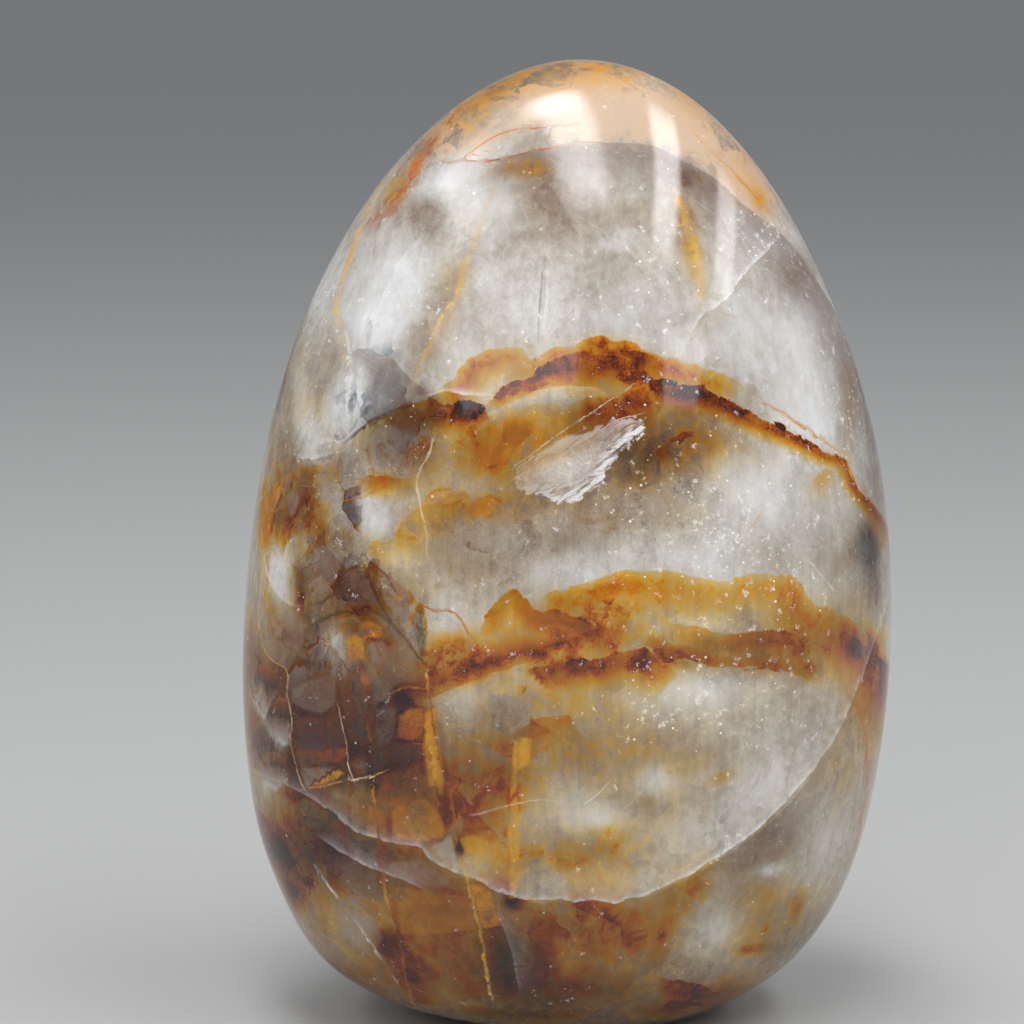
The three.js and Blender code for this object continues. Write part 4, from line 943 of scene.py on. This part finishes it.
# Darker towards the foot, as painted shade of the lower part that turns away from the light, and more
# iron-stained there: from the foot (first value) through the middle to the tip (last value).
footShadeAndStain = {"pale": (-0.2, -0.08, 0.01, -0.06, -0.05), "iron": (0.2, 0.16, 0.08, 0.0, 0.0)}


def cloudShape(centre, azimuth, width, height, tilt=0.0):  # e^-(u^2/w^2 + v^2/h^2 + depth^2/cloudDepth^2)
    a, turn = math.radians(azimuth), math.radians(tilt)
    off = spots - centre
    u = off @ np.array([math.cos(a), math.sin(a), 0.0])
    deep = off @ np.array([math.sin(a), -math.cos(a), 0.0])
    across = u * math.cos(turn) + off[:, 2] * math.sin(turn)
    up = off[:, 2] * math.cos(turn) - u * math.sin(turn)
    return np.exp(-(across / width) ** 2 - (up / height) ** 2 - (deep / laying["cloudDepth"]) ** 2)


def cloudsOf(kind):  # the shape of each cloud of one kind, times its strength
    shapes = []
    for x, y, width, height, strength, *tilt in frontClouds[kind]:
        shapes.append(cloudShape(onFront([(x, y)])[0], 0.0, width, height, *tilt) * strength)
    for azimuth, share, width, height, strength, *tilt in farClouds.get(kind, []):
        shapes.append(cloudShape(allRound(azimuth, share), azimuth, width, height, *tilt) * strength)
    return shapes


# Fields from clouds: pale is a sum; the others are the cube root of the sum of (amount * shape)^3, so that
# clouds which overlap do not add up, and a cloud with a negative amount clears away that share of what is
# there.
def cloudFields():
    fields = {field: np.zeros(len(spots)) for amounts in kinds.values() for field in amounts}
    cleared = {field: np.ones(len(spots)) for field in fields}
    count = 0
    for kind, amounts in kinds.items():
        for shape in cloudsOf(kind):
            count += 1
            for field, amount in amounts.items():
                if field == "pale":
                    fields[field] += amount * shape
                elif amount > 0:
                    fields[field] += (amount * shape) ** 3
                else:
                    cleared[field] *= 1 + amount * shape
    for field, values in fields.items():
        values = values if field == "pale" else np.cbrt(values)
        # adds the painted shade towards the foot, and the extra stain there
        slope = spreadAlong(footShadeAndStain.get(field, 0.0), spots[:, 2] / stoneHeight)
        keep(field, (values + slope) * cleared[field])
    return count


def sheetShape(sheet):  # distance inside the edge in mm, strength and fade on every point
    lean = sheet.get("lean", (0.0, 0.0))
    through = sheet.get("through", False)
    route = onFront(sheet["route"])
    flat = smoothRoute(edgeOn(route, lean))
    if through:  # carried on past both silhouettes
        further = laying["carriedOn"]
        first = flat[0] + (flat[0] - flat[3]) * further
        last = flat[-1] + (flat[-1] - flat[-4]) * further
        flat = np.vstack([first, flat, last])
    gap, along = fromRoute(edgeOn(spots, lean), flat)
    gap = gap * (1 if sheet.get("side") == "left" else -1)
    strength = spreadAlong(sheet["strength"], along)
    if not through:
        behind = spots[:, 1] - route[:, 1].mean()
        strength = strength * (1 - smoothstep(sheet["reach"], sheet["reach"] + laying["endDepth"], behind))
        beyond = (along <= 0) | (along >= 1)
        strength = np.where(beyond, strength * np.exp(-np.abs(gap) / laying["endFall"]), strength)
    fade = spreadAlong(sheet["fade"], along)
    strength = strength * (1 - smoothstep(*laying["before"], -gap))
    strength = strength * (1 - smoothstep(*laying["after"], gap - fade))
    return gap, strength, fade


def layerField(name, members):  # each point takes the sheet that it lies in, or the nearest one
    best = np.full(len(spots), np.inf)
    fields = [np.zeros(len(spots)) for _ in range(3)]
    for sheet in members.values():
        gap, strength, fade = sheetShape(sheet)
        cost = np.where(gap < 0, -gap, 2.0 * gap / fade)
        cost = cost + np.where(strength < laying["unseen"], laying["unseenCost"], 0.0)
        overwrite([best, *fields], cost < best, (cost, gap, strength, fade))
    keep(name, *fields)


def hairlineField(name, lines):  # the nearest line's distance in half widths, its strength and its tone
    best = np.full(len(spots), np.inf)
    fields = [np.zeros(len(spots)) for _ in range(3)]
    for line in lines:
        route = onFront(line["route"])
        gap, along = fromRoute(edgeOn(spots), smoothRoute(edgeOn(route)))
        away = np.abs(gap)
        behind = np.abs(spots[:, 1] - spreadAlong(route[:, 1], along))
        width = line["width"]
        strength = spreadAlong(line["strength"], along) * (1 - smoothstep(*laying["lineDepth"], behind))
        strength *= 1 - smoothstep(1.2 * width + 0.3, 1.6 * width + 0.9, away)  # a little wider than the line
        strength *= 1 - smoothstep(*laying["lineEnd"], away) * ((along <= 0) | (along >= 1))
        tone = spreadAlong(line["tone"], along)
        overwrite([best, *fields], away < best, (away, gap / (width / 2), strength, tone))
    keep(name, *fields)


# Distance inside a closed outline. A point is inside when a level line from it crosses the outline an odd
# number of times.
def insideOutline(flat, corners):
    odd = np.zeros(len(flat), dtype=bool)
    for a, b in zip(corners, np.roll(corners, -1, axis=0)):
        spans = (a[1] > flat[:, 1]) != (b[1] > flat[:, 1])
        rise = b[1] - a[1] if abs(b[1] - a[1]) > 1e-9 else 1e-9
        odd ^= spans & (flat[:, 0] < a[0] + (flat[:, 1] - a[1]) / rise * (b[0] - a[0]))
    gap, along = fromRoute(flat, np.vstack([corners, corners[:1]]))
    return np.where(odd, np.abs(gap), -np.abs(gap)), along


def featherField(name, patch):  # distance inside the outline, and how bright it is along the nearest edge
    route = onFront(patch["route"])
    outline = smoothRoute(edgeOn(np.vstack([route, route[:1]])), 3)
    inside, along = insideOutline(edgeOn(spots), outline[:-1])
    strength = spreadAlong(patch["strength"], along) * (spots[:, 1] < 0)
    keep(name, inside, strength, np.zeros(len(spots)))


# Each point takes the pane that it lies deepest in: distance inside its outline in mm, strength and tone.
def paneField():
    inside = np.full(len(spots), -laying["paneReach"])
    strengths, tones = np.zeros(len(spots)), np.zeros(len(spots))
    here = edgeOn(spots)
    margin = laying["paneMargin"]
    for top, bottom, strength, outline in panes:
        corners = edgeOn(onFront(outline))
        low, high = corners.min(axis=0), corners.max(axis=0)
        near = ((here > low - margin) & (here < high + margin)).all(axis=1)
        close = np.flatnonzero((spots[:, 1] < 0) & near)
        depth, _ = insideOutline(here[close], corners)
        fall = np.clip((high[1] - here[close, 1]) / (high[1] - low[1]), 0, 1)
        deeper = depth > inside[close]
        chosen = close[deeper]
        inside[chosen] = depth[deeper]
        strengths[chosen] = strength
        tones[chosen] = (top + (bottom - top) * fall)[deeper]
    keep("panes", inside, strengths, tones)


for name, (_, members) in layers.items():
    layerField(name, members)
print("sheets:", sum(len(members) for _, members in layers.values()))
for name, lines in hairlines.items():
    hairlineField(name, lines)
print("hairlines:", sum(len(lines) for lines in hairlines.values()))
featherField("feather", feather)
paneField()
print("panes:", len(panes))
print("clouds of colour:", cloudFields())


class Shade:  # one socket of the material; sums, products and the like of sockets add Math nodes
    tree = None

    def __init__(self, socket):
        self.socket = socket

    @classmethod
    def node(cls, kind, settings=None, values=None, output=0):  # settings first, then values or links
        made = cls.tree.nodes.new(kind)
        for name, value in (settings or {}).items():
            if name == "stops":
                cls.setStops(made.color_ramp, value)
            else:
                setattr(made, name, value)
        for name, value in (values or {}).items():
            if isinstance(value, Shade):
                cls.tree.links.new(value.socket, made.inputs[name])
            else:
                made.inputs[name].default_value = value
        return cls(made.outputs[output])

    @staticmethod
    def setStops(ramp, stops):  # (place, colour) pairs
        while len(ramp.elements) < len(stops):
            ramp.elements.new(0.5)
        for element, (place, colour) in zip(ramp.elements, stops):
            element.position = place
            element.color = (*colour, 1.0)

    def beside(self, output):  # another output of the same node
        return Shade(self.socket.node.outputs[output])

    def math(self, operation, *others):
        return Shade.node("ShaderNodeMath", {"operation": operation}, dict(enumerate((self, *others))))

    def __add__(self, other):
        return self.math("ADD", other)

    __radd__ = __add__

    def __mul__(self, other):
        return self.math("MULTIPLY", other)

    __rmul__ = __mul__

    def __sub__(self, other):
        return self.math("SUBTRACT", other)

    def __rsub__(self, other):
        return Shade.node("ShaderNodeMath", {"operation": "SUBTRACT"}, {0: other, 1: self})

    def __truediv__(self, other):
        return self.math("DIVIDE", other)

    def __abs__(self):
        return self.math("ABSOLUTE")

    def larger(self, other):
        return self.math("MAXIMUM", other)

    def smaller(self, other):
        return self.math("MINIMUM", other)

    def over(self, low, high):  # smooth step: 0 below low, 1 above high
        return Shade.node("ShaderNodeMapRange", {"interpolation_type": "SMOOTHSTEP"},
                          {"Value": self, "From Min": low, "From Max": high})

    def under(self, low, high):  # 1 below low, 0 above high
        return Shade.node("ShaderNodeMapRange", {"interpolation_type": "SMOOTHSTEP"},
                          {"Value": self, "From Min": low, "From Max": high, "To Min": 1.0, "To Max": 0.0})


def fromScreen(red, green, blue):  # screen values 0 to 1 as linear light: ((v + 0.055) / 1.055)^2.4
    return tuple(((v + 0.055) / 1.055) ** 2.4 if v > 0.04 else v / 12.92 for v in (red, green, blue))


# The quartz: colours as they look on a screen. The body runs from dark to white, the stain from none to
# near black, as what the iron lets through, and the lines and panes as their tones do.
quartz = {
    "body": [(0.0, (0.10, 0.08, 0.07)), (0.2, (0.34, 0.27, 0.22)), (0.4, (0.53, 0.46, 0.40)),
             (0.56, (0.67, 0.635, 0.585)), (0.7, (0.785, 0.775, 0.75)), (0.85, (0.88, 0.875, 0.87)),
             (1.0, (0.95, 0.95, 0.95))],
    "stain": [(0.0, (1.0, 1.0, 1.0)), (0.15, (1.0, 0.93, 0.80)), (0.3, (1.0, 0.85, 0.50)),
              (0.44, (0.98, 0.73, 0.18)), (0.58, (0.93, 0.54, 0.06)), (0.71, (0.76, 0.34, 0.04)),
              (0.86, (0.46, 0.19, 0.07)), (1.0, (0.18, 0.11, 0.11))],
    "lines": [(0.0, (0.95, 0.94, 0.91)), (0.25, (0.90, 0.80, 0.54)), (0.45, (0.83, 0.60, 0.08)),
              (0.62, (0.72, 0.38, 0.05)), (0.78, (0.42, 0.18, 0.08)), (1.0, (0.14, 0.11, 0.11))],
    "panes": [(0.0, (0.90, 0.88, 0.85)), (0.2, (0.63, 0.61, 0.57)), (0.4, (0.52, 0.42, 0.37)),
              (0.56, (0.20, 0.15, 0.15)), (0.7, (0.43, 0.23, 0.12)), (0.84, (0.66, 0.35, 0.10)),
              (1.0, (0.86, 0.64, 0.15))],
    "peach": (0.80, 0.69, 0.58),
    "plum": (0.33, 0.22, 0.22),
    "slate": (0.47, 0.51, 0.53),
    "smoke": (0.42, 0.34, 0.31),
    "veil": (0.93, 0.92, 0.91),
    # spark is the white of the bright flaws and of the painted glints
    "spark": (1.0, 0.99, 0.97),
    "clear": (0.906, 0.886, 0.843),
    "paleness": 0.645,  # of the quartz between the clouds, as a place on the body's ramp
    "raggedness": {"iron": 0.7, "smoke": 0.3, "veil": 0.3},  # of the sheets' edges
    "fringed": ("ironOne", "ironThree"),  # layers that are golden at the very edge
    "threads": 0.13,  # strength of the fine straight flaws
    "windows": 0.6,  # share of clear quartz in the clear places
    "roughness": 0.06,
    "ior": 1.544,
    "bumpStrength": 0.05,
    "bumpHeight": 0.0004,
}

# How strongly each noise works in each part of the pattern: swell, mottle, fine and grit are noises from
# large to small, and facet, chip, tint and glint are one number for each flake.
grains = {
    "ragged": {"swell": 2.2, "mottle": 1.6, "fine": 1.0, "facet": 0.7, "chip": 0.4},
    "body": {"fine": 0.36, "grit": 0.22, "mottle": 0.2, "facet": 0.13, "chip": 0.12},
    "tints": {"mottle": 0.6, "fine": 0.4, "facet": 0.4, "chip": 0.2},
    "sheets": {"mottle": 0.8, "fine": 0.8, "grit": 0.5, "facet": 0.3, "chip": 0.22},
    "clouds": {"mottle": 1.6, "fine": 1.1, "grit": 0.6, "facet": 0.6, "chip": 0.3},
    "paneTone": {"mottle": 0.2, "fine": 0.22, "grit": 0.16, "facet": 0.06, "chip": 0.05},
    "paneShare": {"fine": 1.3, "mottle": 0.4, "chip": 0.4},
    "paneSeam": {"mottle": 1.0, "fine": 0.4},
    "paneRust": {"mottle": 1.0, "fine": 1.0, "chip": 0.4},
    "veils": {"fine": 1.3, "chip": 0.4},
    "featherEdge": {"fine": 1.8, "chip": 0.8},
    "featherThin": {"mottle": 1.0, "grit": 1.0},
    "lineWander": {"swell": 2.0, "chip": 0.8},
    "lineEdge": {"fine": 1.8, "mottle": 0.7},
    "lineShare": {"chip": 0.7, "fine": 0.8},
    "lineTone": {"fine": 0.4, "mottle": 0.2},
}


def mixTint(below, above, share, blend="MIX"):  # below * (1 - share) + above * share, or their product
    if isinstance(above, str):
        above = (*fromScreen(*quartz[above]), 1.0)
    colours = {0: share, 6: below, 7: above}
    return Shade.node("ShaderNodeMix", {"data_type": "RGBA", "blend_type": blend}, colours, 2)


def rampOf(name, value):  # the colour at a place on one of the quartz's ramps
    stops = [(place, fromScreen(*colour)) for place, colour in quartz[name]]
    return Shade.node("ShaderNodeValToRGB", {"stops": stops}, {0: value})


def fieldOf(name):  # one number that every point of the stone carries
    return Shade.node("ShaderNodeAttribute", {"attribute_name": name}, output="Fac")


def threeFields(name):  # three numbers that every point of the stone carries
    vector = Shade.node("ShaderNodeAttribute", {"attribute_name": name}, output="Vector")
    first = Shade.node("ShaderNodeSeparateXYZ", values={0: vector})
    return first, first.beside(1), first.beside(2)


def speckle(place, scale, detail=3.0, roughness=0.55, distortion=0.0, shift=(0, 0, 0), stretch=(1, 1, 1)):
    moved = Shade.node("ShaderNodeMapping", values={"Vector": place, "Location": shift, "Scale": stretch})
    return Shade.node("ShaderNodeTexNoise", values={
        "Vector": moved, "Scale": scale, "Detail": detail, "Roughness": roughness, "Distortion": distortion})


def flakes(place, scale):  # cells with straight sides; two random numbers around 0 for each
    cells = Shade.node("ShaderNodeTexVoronoi", values={"Vector": place, "Scale": scale}, output="Color")
    first = Shade.node("ShaderNodeSeparateColor", values={0: cells})
    return first - 0.5, first.beside(1) - 0.5


# Noise drawn out along one direction of the front: turned by degrees about the y axis, and size mm long
# each way.
def drawnOut(mm, degrees, size, detail=1.0, roughness=0.5, distortion=0.0):
    turned = Shade.node("ShaderNodeMapping", {"vector_type": "TEXTURE"}, {
        "Vector": mm, "Rotation": (0.0, math.radians(degrees), 0.0), "Scale": size})
    return Shade.node("ShaderNodeTexNoise", values={
        "Vector": turned, "Scale": 1.0, "Detail": detail, "Roughness": roughness, "Distortion": distortion})


class Grain:  # the noises and flakes that every part of the pattern shares, each around 0 unless said
    def __init__(self, mm):
        self.coarse = speckle(mm, 0.12, 3.0, 0.55)  # around 0.5, as are patches
        self.patches = speckle(mm, 0.2, 3.0, 0.62, 0.8, shift=(7, 41, 3))
        self.swell = self.coarse - 0.5
        self.mottle = self.patches - 0.5
        self.fine = speckle(mm, 0.8, 5.0, 0.7, shift=(31, 5, 17)) - 0.5
        self.grit = speckle(mm, 2.6, 2.0, 0.6, shift=(2, 23, 11)) - 0.5
        bend = Shade.node("ShaderNodeVectorMath", {"operation": "SCALE"}, {
            0: self.coarse.beside("Color"), "Scale": 7.0})
        bent = Shade.node("ShaderNodeVectorMath", {"operation": "ADD"}, {0: mm, 1: bend})
        bent = Shade.node("ShaderNodeVectorMath", {"operation": "MULTIPLY"}, {0: bent, 1: (1.0, 1.0, 0.7)})
        large, small = 0.2, 0.75
        self.facet, self.tint = flakes(bent, large)
        self.chip, self.glint = flakes(bent, small)
        self.seam = Shade.node("ShaderNodeTexVoronoi", {"feature": "DISTANCE_TO_EDGE"}, {
            "Vector": bent, "Scale": large})
        self.ragged = self.of("ragged")
        # Quiet in the clear quartz, and strong where the stone is broken up by iron or plum.
        self.broken = (fieldOf("plum") * 1.5 + fieldOf("iron") * 0.9 + 0.32).smaller(1.7)

    def of(self, part):  # the sum of weight * noise for one part of the pattern
        weighed = [getattr(self, noise) * weight for noise, weight in grains[part].items()]
        return sum(weighed[1:], weighed[0])


def bodyColour(mm, grain):  # from smoky to white, with faint upright streaks and the coloured clouds
    cloudy = speckle(mm, 0.06, 3.0, 0.62, 1.0, shift=(3, 9, 27)) - 0.5
    streaks = speckle(mm, 0.7, 2.0, 0.6, shift=(11, 0, 5), stretch=(1.0, 1.0, 0.16)) - 0.5
    pale = fieldOf("pale") + quartz["paleness"] + cloudy * 0.34 + streaks * 0.18
    colour = rampOf("body", pale + grain.of("body") * grain.broken)
    uneven = grain.of("tints")
    for name in ("peach", "slate", "plum"):
        colour = mixTint(colour, name, (fieldOf(name) + uneven).over(0.22, 0.84) * 0.88)
    return colour


def sheetFields(name, kind, grain):  # how far inside the ragged edge a point lies in mm, strength and fade
    gap, strength, fade = threeFields(name)
    return gap + grain.ragged * quartz["raggedness"][kind], strength, fade


# Smoky sheets are laid over the body. The iron is the darkest sheet at each point, and the clouds around
# it; it is laid on as a filter: colour * what the iron lets through.
def ironStain(colour, grain):
    amounts = []
    for name, (kind, _) in layers.items():
        if kind == "veil":
            continue
        reach, strength, fade = sheetFields(name, kind, grain)
        fall = ((1 - reach / fade) * 1.4).smaller(1.0).larger(0.0)
        amount = reach.over(-0.05, 0.25) * fall * strength
        if kind == "smoke":
            colour = mixTint(colour, "smoke", amount * (grain.patches.over(0.3, 0.52) * 0.4 + 0.5))
            continue
        if name in quartz["fringed"]:
            amount = amount * (reach.over(0.1, 2.0) * 0.36 + 0.64)
        amounts.append(amount)
    darkest = amounts[0]
    for amount in amounts[1:]:
        darkest = darkest.larger(amount)
    sheets = (darkest * (grain.of("sheets") + 0.94)).smaller(0.97).larger(0.0)
    uneven = grain.of("clouds") * (grain.broken * 0.8 + 0.2) + 0.92
    around = (fieldOf("iron") * uneven).over(0.0, 0.74) * 0.8
    stain = sheets.larger(around) + sheets.smaller(around) * 0.1
    cracked = (fieldOf("plum") + grain.tint * 0.5).over(0.45, 0.8)
    seams = (grain.seam + grain.fine * 0.12).under(0.01, 0.05) * cracked
    stain = stain.larger(seams * 0.66)
    return mixTint(colour, rampOf("stain", stain), 1.0, "MULTIPLY"), stain


def withPanes(colour, grain):  # flecked inside, and a rusty line around some of them
    inside, strength, tone = threeFields("panes")
    inside = inside + grain.ragged * 0.24
    seam = abs(inside).under(0.06, 0.4) * strength * grain.of("paneSeam").over(0.03, 0.1)
    share = (inside.over(-0.15, 0.55) * strength * (grain.of("paneShare") + 0.8)).smaller(1.0).larger(0.0)
    colour = mixTint(colour, rampOf("panes", tone + grain.of("paneTone")), share * 0.84)
    rust = grain.of("paneRust").over(0.0, 0.3) * share * 0.26 + seam * 0.5
    return mixTint(colour, rampOf("stain", rust), 1.0, "MULTIPLY")


def withVeils(colour, grain):  # white, and bright at their edge
    for name, (kind, _) in layers.items():
        if kind != "veil":
            continue
        reach, strength, fade = sheetFields(name, kind, grain)
        fall = (1 - reach / fade).larger(0.0)
        edge = reach.under(0.2, 0.9)
        amount = reach.over(-0.05, 0.2) * (fall * fall * 0.6 + edge * 0.4) * strength
        colour = mixTint(colour, "veil", (amount * (grain.of("veils") + 0.62)).larger(0.0))
    return colour


def withFeather(colour, mm, grain):  # fibrous, and brightest at its broken edge
    inside, strength, _ = threeFields("feather")
    fibres = drawnOut(mm, -32.0, (3.2, 2.0, 0.7), 4.0, 0.7, 0.6)
    inside = inside + grain.of("featherEdge")
    bright = inside.over(0.0, 0.3) * inside.under(0.4, 4.5) * strength * fibres.over(0.34, 0.56)
    thin = inside.over(0.0, 3.4) * (inside.over(2.0, 5.0) * 0.26 + 0.42) * (grain.of("featherThin") + 0.8)
    return mixTint(colour, "veil", bright.larger(thin) * 0.95)


def withLines(colour, grain):  # hairlines and narrow strips, one of them a painted highlight; the white ones are broken here and there
    wander, edge = grain.of("lineWander"), grain.of("lineEdge")
    uneven, toned = grain.of("lineShare") + 0.84, grain.of("lineTone")
    for name in hairlines:
        gap, strength, tone = threeFields(name)
        across = abs(gap + wander) + edge
        unbroken = grain.patches.over(0.34, 0.52).larger(tone.over(0.3, 0.4))
        share = (across.under(0.1, 0.9) * strength * unbroken * uneven).smaller(1.0).larger(0.0)
        colour = mixTint(colour, rampOf("lines", tone + toned), share * 0.92)
    return colour


def withThreads(colour, mm, grain, stain):  # fine straight flaws, white in the pale parts
    rising = drawnOut(mm, 46.0, (0.34, 4.0, 24.0)).over(0.66, 0.76)
    falling = drawnOut(mm, -58.0, (0.32, 4.0, 20.0)).over(0.66, 0.76)
    unstained = stain.under(0.3, 0.8) * (fieldOf("plum") + fieldOf("iron")).under(0.2, 0.5)
    share = rising.larger(falling) * unstained * (grain.tint * 0.9 + 0.35).over(0.1, 0.9)
    return mixTint(colour, "veil", share * quartz["threads"])


def withSparkle(colour, mm, grain):  # small bright flecks, crowded where the field says: white flaws, and painted glints
    crowd = fieldOf("sparkle")
    flecks = Shade.node("ShaderNodeTexVoronoi", values={"Vector": mm, "Scale": 1.25})
    size = Shade.node("ShaderNodeSeparateColor", values={0: flecks.beside("Color")})
    pick = size.beside(1)
    dense = crowd * 0.4 + grain.mottle * 0.7 - 0.04
    dots = (flecks - size * 0.2).under(0.0, 0.12) * (dense - pick).over(0.0, 0.1)
    glintSpecks = (grain.fine + crowd * 0.09 + grain.glint * 0.12).over(0.15, 0.24)
    return mixTint(colour, "spark", (dots * 0.85).larger(glintSpecks * 0.5))


def quartzMaterial():  # milky quartz with its pattern, and windows of clear quartz mixed in
    material = bpy.data.materials.new("iron_stained_quartz")
    material.use_nodes = True
    Shade.tree = material.node_tree
    Shade.tree.nodes.clear()
    place = Shade.node("ShaderNodeTexCoord", output="Object")
    mm = Shade.node("ShaderNodeVectorMath", {"operation": "SCALE"}, {0: place, "Scale": mmPerMetre})
    grain = Grain(mm)
    colour = bodyColour(mm, grain)
    colour, stain = ironStain(colour, grain)
    colour = withPanes(colour, grain)
    colour = withThreads(colour, mm, grain, stain)
    colour = withVeils(colour, grain)
    colour = withFeather(colour, mm, grain)
    colour = withLines(colour, grain)
    colour = withSparkle(colour, mm, grain)

    bump = Shade.node("ShaderNodeBump", values={
        "Strength": quartz["bumpStrength"], "Distance": quartz["bumpHeight"], "Height": grain.coarse})
    polish = {"Roughness": quartz["roughness"], "IOR": quartz["ior"], "Normal": bump}
    milky = Shade.node("ShaderNodeBsdfPrincipled", values={"Base Color": colour, **polish})
    clear = Shade.node("ShaderNodeBsdfPrincipled", values={
        "Base Color": (*fromScreen(*quartz["clear"]), 1.0), "Transmission Weight": 1.0, **polish})
    window = (fieldOf("clear") + grain.mottle * 0.5).over(0.2, 0.9) * quartz["windows"]
    mixed = Shade.node("ShaderNodeMixShader", values={0: window, 1: milky, 2: clear})
    output = Shade.tree.nodes.new("ShaderNodeOutputMaterial")
    Shade.tree.links.new(mixed.socket, output.inputs["Surface"])
    return material


stoneData.materials.append(quartzMaterial())
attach(polished, "root")
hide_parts(stone["node"])
print("quartz painted")

# The studio: a wide pale floor, a dim surround, and soft panels overhead that run from front to back.
studio = {
    "floorColour": (0.72, 0.72, 0.71),
    "floorRoughness": 0.6,
    "floorReach": 14.0,
    "surround": (0.92, 0.95, 1.0),
    "surroundStrength": 0.34,
    "panelColour": (0.97, 0.97, 1.0),
    # Each panel: its middle (x, y, z), width, length, turn in degrees, radiance, and how much of it fades
    # at its edges, across and along.
    "panels": {
        "topPanel": (-0.22, -0.03, 1.10, 0.52, 0.42, 0.0, 7.0, (0.45, 0.4)),
        "middlePanel": (-0.07, -0.42, 1.12, 0.42, 1.25, 13.0, 8.0, (0.34, 0.3)),
        "leftPanel": (-0.80, -0.38, 1.12, 0.50, 1.25, -8.0, 3.3, (0.35, 0.3)),
        "frontPanel": (-0.74, -1.90, 1.14, 1.40, 1.90, -3.0, 2.2, (0.05, 0.12)),
        "rightPanel": (0.56, -0.46, 1.10, 0.27, 1.60, 4.0, 8.4, (0.25, 0.3)),
        "rightFrontPanel": (1.12, -2.20, 1.12, 0.62, 1.60, 14.0, 2.8, (0.12, 0.2)),
        "sidePanel": (1.17, -0.44, 1.10, 0.30, 1.60, 7.0, 5.8, (0.25, 0.3)),
    },
}


def addFloor():  # a square that reaches floorReach metres each way
    reach = studio["floorReach"]
    mesh = bpy.data.meshes.new("paleFloor")
    corners = [(-reach, -reach, 0), (reach, -reach, 0), (reach, reach, 0), (-reach, reach, 0)]
    mesh.from_pydata(corners, [], [(0, 1, 2, 3)])
    floor = bpy.data.objects.new("pale_floor", mesh)
    bpy.context.collection.objects.link(floor)
    material = bpy.data.materials.new("pale_floor")
    material.use_nodes = True
    shader = material.node_tree.nodes["Principled BSDF"]
    shader.inputs["Base Color"].default_value = (*fromScreen(*studio["floorColour"]), 1.0)
    shader.inputs["Roughness"].default_value = studio["floorRoughness"]
    mesh.materials.append(material)


# A panel faces straight down, and its light fades to nothing at its edges: radiance * smooth(across) *
# smooth(along). Power = pi * area * radiance.
def addPanel(name, x, y, z, width, length, turn, radiance, soft):
    data = bpy.data.lights.new(name, "AREA")
    data.shape = "RECTANGLE"
    data.size = width
    data.size_y = length
    data.energy = math.pi * width * length * radiance
    data.color = studio["panelColour"]
    data.use_nodes = True
    Shade.tree = data.node_tree
    places = Shade.node("ShaderNodeNewGeometry", output="Parametric")
    across = Shade.node("ShaderNodeSeparateXYZ", values={0: places})
    bright = 1.0
    for t, edge in zip((across, across.beside(1)), soft):
        bright = t.smaller(1 - t).over(0.0, edge) * bright
    emission = Shade.tree.nodes["Emission"]
    Shade.tree.links.new(bright.socket, emission.inputs["Strength"])
    lamp = bpy.data.objects.new(name, data)
    lamp.location = (x, y, z)
    lamp.rotation_euler = (0.0, 0.0, math.radians(turn))
    bpy.context.collection.objects.link(lamp)


def addSurround():  # even light from all round
    world = bpy.data.worlds.new("softSurround")
    bpy.context.scene.world = world
    world.use_nodes = True
    surround = world.node_tree.nodes["Background"]
    surround.inputs["Color"].default_value = (*studio["surround"], 1.0)
    surround.inputs["Strength"].default_value = studio["surroundStrength"]


def addCamera():  # where the photograph was taken from, looking at its aim
    place, _, _, forward = cameraAxes()
    data = bpy.data.cameras.new("photoCamera")
    data.lens = photoCamera["lens"]
    data.sensor_width = photoCamera["sensor"]
    camera = bpy.data.objects.new("photoCamera", data)
    camera.location = place
    camera.rotation_euler = Vector(-forward).to_track_quat("Z", "Y").to_euler()
    bpy.context.collection.objects.link(camera)
    bpy.context.scene.camera = camera


addFloor()
for name, values in studio["panels"].items():
    addPanel(name, *values)
addSurround()
addCamera()
bpy.context.scene.view_settings.view_transform = "Standard"
print("studio ready")
